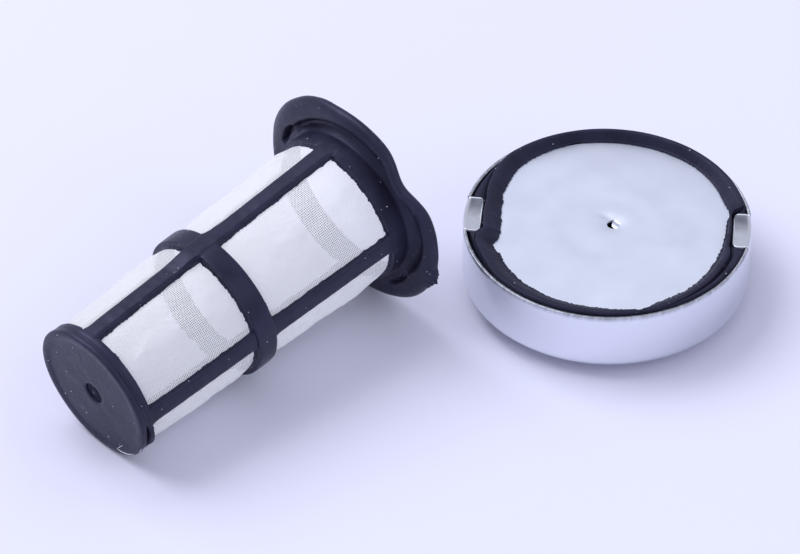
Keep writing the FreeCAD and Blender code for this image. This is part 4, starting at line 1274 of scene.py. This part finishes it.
def build_gasket():
    points, faces = [], []
    for number in range(SLICES):
        degrees = 360.0 * number / SLICES
        profile = gasket_profile(degrees)
        points += [turned(radius, degrees, height) for radius, height in profile]
    size = len(profile)
    for number in range(SLICES):
        here, beside = number * size, (number + 1) % SLICES * size
        for k in range(size):
            above = (k + 1) % size
            faces.append((here + k, beside + k, beside + above, here + above))
    return finished_piece("sealing_ring", points, faces, RUBBER, BODY_PRESSED, CAP_TURN, 50.0)


sealing_ring = build_gasket()
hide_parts("cap_gasket")

# %% [markdown]
# ## Dust
# Fine pale dust clings to black plastic and rubber. Specks in the material would lie flat and
# have no shadow, so Geometry Nodes scatter small grains over the skins. The grains fall the same
# way each time, because the seed is fixed, and each has only a few faces.

# %% Dust by Geometry Nodes
GRAIN_RADIUS = 0.14 * MM
GRAINS_PER_SQUARE_METRE = 26000.0


def pale_powder(name, tone):
    """Dull, pale matter: dust, or plastic that is rubbed white."""
    material, tree = new_material(name)
    shader = add_node(tree, "ShaderNodeBsdfPrincipled", {}, {"Base Color": colour(tone), "Roughness": 0.8})
    add_node(tree, "ShaderNodeOutputMaterial", {}, {"Surface": shader})
    return material


def dust_tree():
    tree, sockets, given = new_tree("dust_tree", {
        "Density": "Float", "Seed": "Int", "Grain": "Float", "Material": "Material"})
    spots = add_node(tree, "GeometryNodeDistributePointsOnFaces", {}, {
        "Mesh": given["Geometry"], "Density": given["Density"], "Seed": given["Seed"]})
    grain = add_node(tree, "GeometryNodeMeshIcoSphere", {}, {"Radius": given["Grain"], "Subdivisions": 1})
    size = add_node(tree, "FunctionNodeRandomValue", {"data_type": "FLOAT"}, {
        2: 0.35, 3: 1.0, "Seed": given["Seed"]})
    scattered = add_node(tree, "GeometryNodeInstanceOnPoints", {}, {
        "Points": spots, "Instance": grain, "Scale": size.outputs[1]})
    end_tree(tree, scattered, given["Material"])
    return tree, sockets


DUST = pale_powder("pale_dust", "c9ccd8")
tree, sockets = dust_tree()
for skin, body, slot, seed in ((frame_moulding, BODY_FIXED, "black_plastic", 3),
                               (sealing_ring, BODY_PRESSED, "black_rubber", 8)):
    grains = baked(tree, sockets, {
        "Density": GRAINS_PER_SQUARE_METRE, "Seed": seed, "Grain": GRAIN_RADIUS, "Material": DUST}, skin.data)
    settled_piece("dust_on_" + skin.name, grains, DUST, body)

# %% [markdown]
# ## A rubbed edge
# The end disc has a pale line where its rim was rubbed white, with a short mark beside it. A mask
# in the plastic's material would do, but so thin a line would break up. It is a thin, flat bead
# that lies on the disc, thickest in its middle.

# %% Rubbed line on the end disc
RUBBED = pale_powder("rubbed_white_plastic", "e6e8f2")
DISC_FLAT = 12.7
DISC_ROLL = [(12.7, 0.31), (13.5, 0.05), (14.0, 0.0), (14.5, 0.03), (14.95, 0.3)]
STEPS_PER_MARK = 10


def disc_level(radius):
    """How far below the end plane the disc's face lies at this radius."""
    return 0.34 if radius < DISC_FLAT else float(np.interp(radius, *zip(*DISC_ROLL)))


def rubbed_line(name, marks, thickness):
    """A thin flat bead on the end disc through (direction, radius) marks."""
    points, faces = [], []
    turns, radii = zip(*marks)
    steps = STEPS_PER_MARK * (len(marks) - 1)
    for i in range(steps + 1):
        at = i / STEPS_PER_MARK
        turn = float(np.interp(at, range(len(marks)), turns))
        radius = float(np.interp(at, range(len(marks)), radii))
        half = thickness * (0.35 + 0.65 * math.sin(math.pi * i / steps)) * (1 + 0.3 * ripple(61, i * 0.6))
        for offset, height in ((-half, 0.03), (-half * 0.5, -0.05), (half * 0.5, -0.05), (half, 0.03)):
            points.append(turned(radius + offset, turn, disc_level(radius + offset) + height))
    for i in range(steps):
        for k in range(4):
            a, b = i * 4 + k, i * 4 + (k + 1) % 4
            faces.append((a, b, b + 4, a + 4))
    faces += [(3, 2, 1, 0), tuple(4 * steps + k for k in range(4))]
    return finished_piece(name, points, faces, RUBBED, BODY_FIXED, STRAINER, 60.0)


RIM_MARKS = [(158, 13.6), (152, 14.1), (145, 14.5), (136, 14.75), (126, 14.85), (117, 14.9)]
rubbed_line("rubbed_rim", RIM_MARKS, 0.15)
rubbed_line("rubbed_mark", [(158, 13.5), (152, 12.9), (147, 12.6)], 0.07)

# %% [markdown]
# ## The leaf spring
# The spring under the plate is one strip pressing with four bent legs. Its solid already has the
# right shape, so the piece starts from a copy of that solid's mesh, and its cut edges are rounded
# a little. Its legs are squashed once towards its feet, which stand on the crown, so that a little
# air is left under the plate. A bone in each leg would be finer, but one squash shows what
# happens.

# %% Leaf spring
SPRING_FEET = 1.95
UNDER_PLATE = 0.14
EDGE_ROUNDING = 0.06


def build_spring():
    """The spring's mesh and its top in metres, with a little air left under the plate."""
    mesh = frame["nodes"]["plate_spring"].data.copy()
    mesh.name = "leaf_spring"
    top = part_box("plate_spring")[1][2]
    feet = SPRING_FEET * MM
    shorter = (top - feet - UNDER_PLATE * MM) / (top - feet)
    work = bmesh.new()
    work.from_mesh(mesh)
    bmesh.ops.remove_doubles(work, verts=work.verts, dist=1e-6)
    bmesh.ops.recalc_face_normals(work, faces=work.faces)
    corners = [edge for edge in work.edges
               if len(edge.link_faces) == 2 and edge.calc_face_angle() > math.radians(50)]
    bmesh.ops.bevel(work, geom=corners, offset=EDGE_ROUNDING * MM, segments=2, affect="EDGES",
                    clamp_overlap=True)
    for point in work.verts:
        if point.co.z > feet:
            point.co.z = feet + (point.co.z - feet) * shorter
    work.to_mesh(mesh)
    work.free()
    return mesh, top - UNDER_PLATE * MM


spring_mesh, spring_top = build_spring()
leaf_spring = settled_piece("leaf_spring", spring_mesh, SPRING_STEEL, BODY_FIXED, 30.0)
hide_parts("plate_spring")
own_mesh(leaf_spring)

# %% [markdown]
# ## The table
# The parts lie on pale bluish-white paper. What the camera, a mirror or a clear part sees of it
# has a tone of its own, chosen with Light Path. So the picture's background can be matched
# without changing the diffuse light that the paper throws back onto the parts.


# %% Table
def pale_table():
    material, tree = new_material("pale_table")
    rays = add_node(tree, "ShaderNodeLightPath")
    seen = add_node(tree, "ShaderNodeMath", {"operation": "MAXIMUM"}, {
        0: rays.outputs["Is Camera Ray"], 1: rays.outputs["Is Glossy Ray"]})
    seen = add_node(tree, "ShaderNodeMath", {"operation": "MAXIMUM"}, {
        0: seen, 1: rays.outputs["Is Transmission Ray"]})
    plain_paper = add_node(tree, "ShaderNodeBsdfDiffuse", {}, {"Color": colour("dfe2ee")})
    seen_paper = add_node(tree, "ShaderNodeBsdfDiffuse", {}, {"Color": colour("dedeee")})
    surface = add_node(tree, "ShaderNodeMixShader", {}, {0: seen, 1: plain_paper, 2: seen_paper})
    add_node(tree, "ShaderNodeOutputMaterial", {}, {"Surface": surface})
    return material


bpy.ops.mesh.primitive_plane_add(size=6.0, location=(0, 0, -0.2 * MM))
table = bpy.context.object
table.name = "table"
table.data.materials.append(pale_table())
print("table under the parts")

# %% [markdown]
# ## Lamps and room
# One large soft lamp stands at the upper left, behind the parts, a weak one at the right front
# opens the shadows, and a pale room lights the rest. The lamps' places are given as seen by the
# camera: to the right, away from it, and up.

# %% Lamps and room
HEADING = math.radians(46.16)
VIEW = Vector((math.cos(HEADING), math.sin(HEADING), 0))
RIGHT = Vector((VIEW.y, -VIEW.x, 0))
MIDDLE = Vector((-0.030, 0.0, 0.012))
ROOM_STRENGTH = 0.67


def soft_lamp(name, right, away, up, size, watts, tone):
    """A square soft box that points at the middle of the parts; lengths are in metres."""
    data = bpy.data.lights.new(name, "AREA")
    data.shape = "RECTANGLE"
    data.size, data.size_y = size, size
    data.energy = watts
    data.color = colour(tone)[:3]
    lamp = bpy.data.objects.new(name, data)
    bpy.context.scene.collection.objects.link(lamp)
    lamp.location = MIDDLE + RIGHT * right + VIEW * away + Vector((0, 0, up))
    lamp.rotation_euler = (MIDDLE - lamp.location).to_track_quat("-Z", "Y").to_euler()


soft_lamp("key_soft_box", right=-0.95, away=0.45, up=1.40, size=1.3, watts=23.6, tone="f4f5ff")
soft_lamp("fill_soft_box", right=0.6, away=-0.6, up=0.8, size=0.8, watts=2.6, tone="f0f2ff")
world = bpy.data.worlds.new("pale_room")
world.use_nodes = True
world.node_tree.nodes["Background"].inputs["Color"].default_value = colour("edf0ff")
world.node_tree.nodes["Background"].inputs["Strength"].default_value = ROOM_STRENGTH
bpy.context.scene.world = world
print("two soft lamps and a pale room")

# %% [markdown]
# ## The camera
# The photo was taken with a long lens, so both pieces show little perspective. Lens, heading,
# pitch and place were found by laying the outlines of cap and strainer over the photo's.

# %% Camera
PITCH = math.radians(41.42)
LENS, SENSOR = 226.24, 36.0
camera_data = bpy.data.cameras.new("camera")
camera_data.sensor_width = SENSOR
camera_data.lens = LENS
camera_data.clip_end = 20.0
camera = bpy.data.objects.new("camera", camera_data)
bpy.context.scene.collection.objects.link(camera)
camera.location = (-0.57685, -0.5387, 0.69652)
look = VIEW * math.cos(PITCH) - Vector((0, 0, math.sin(PITCH)))
camera.rotation_euler = look.to_track_quat("-Z", "Y").to_euler()
bpy.context.scene.camera = camera
bpy.context.scene.view_settings.view_transform = "Standard"
print("camera looks down %.1f degrees" % math.degrees(PITCH))
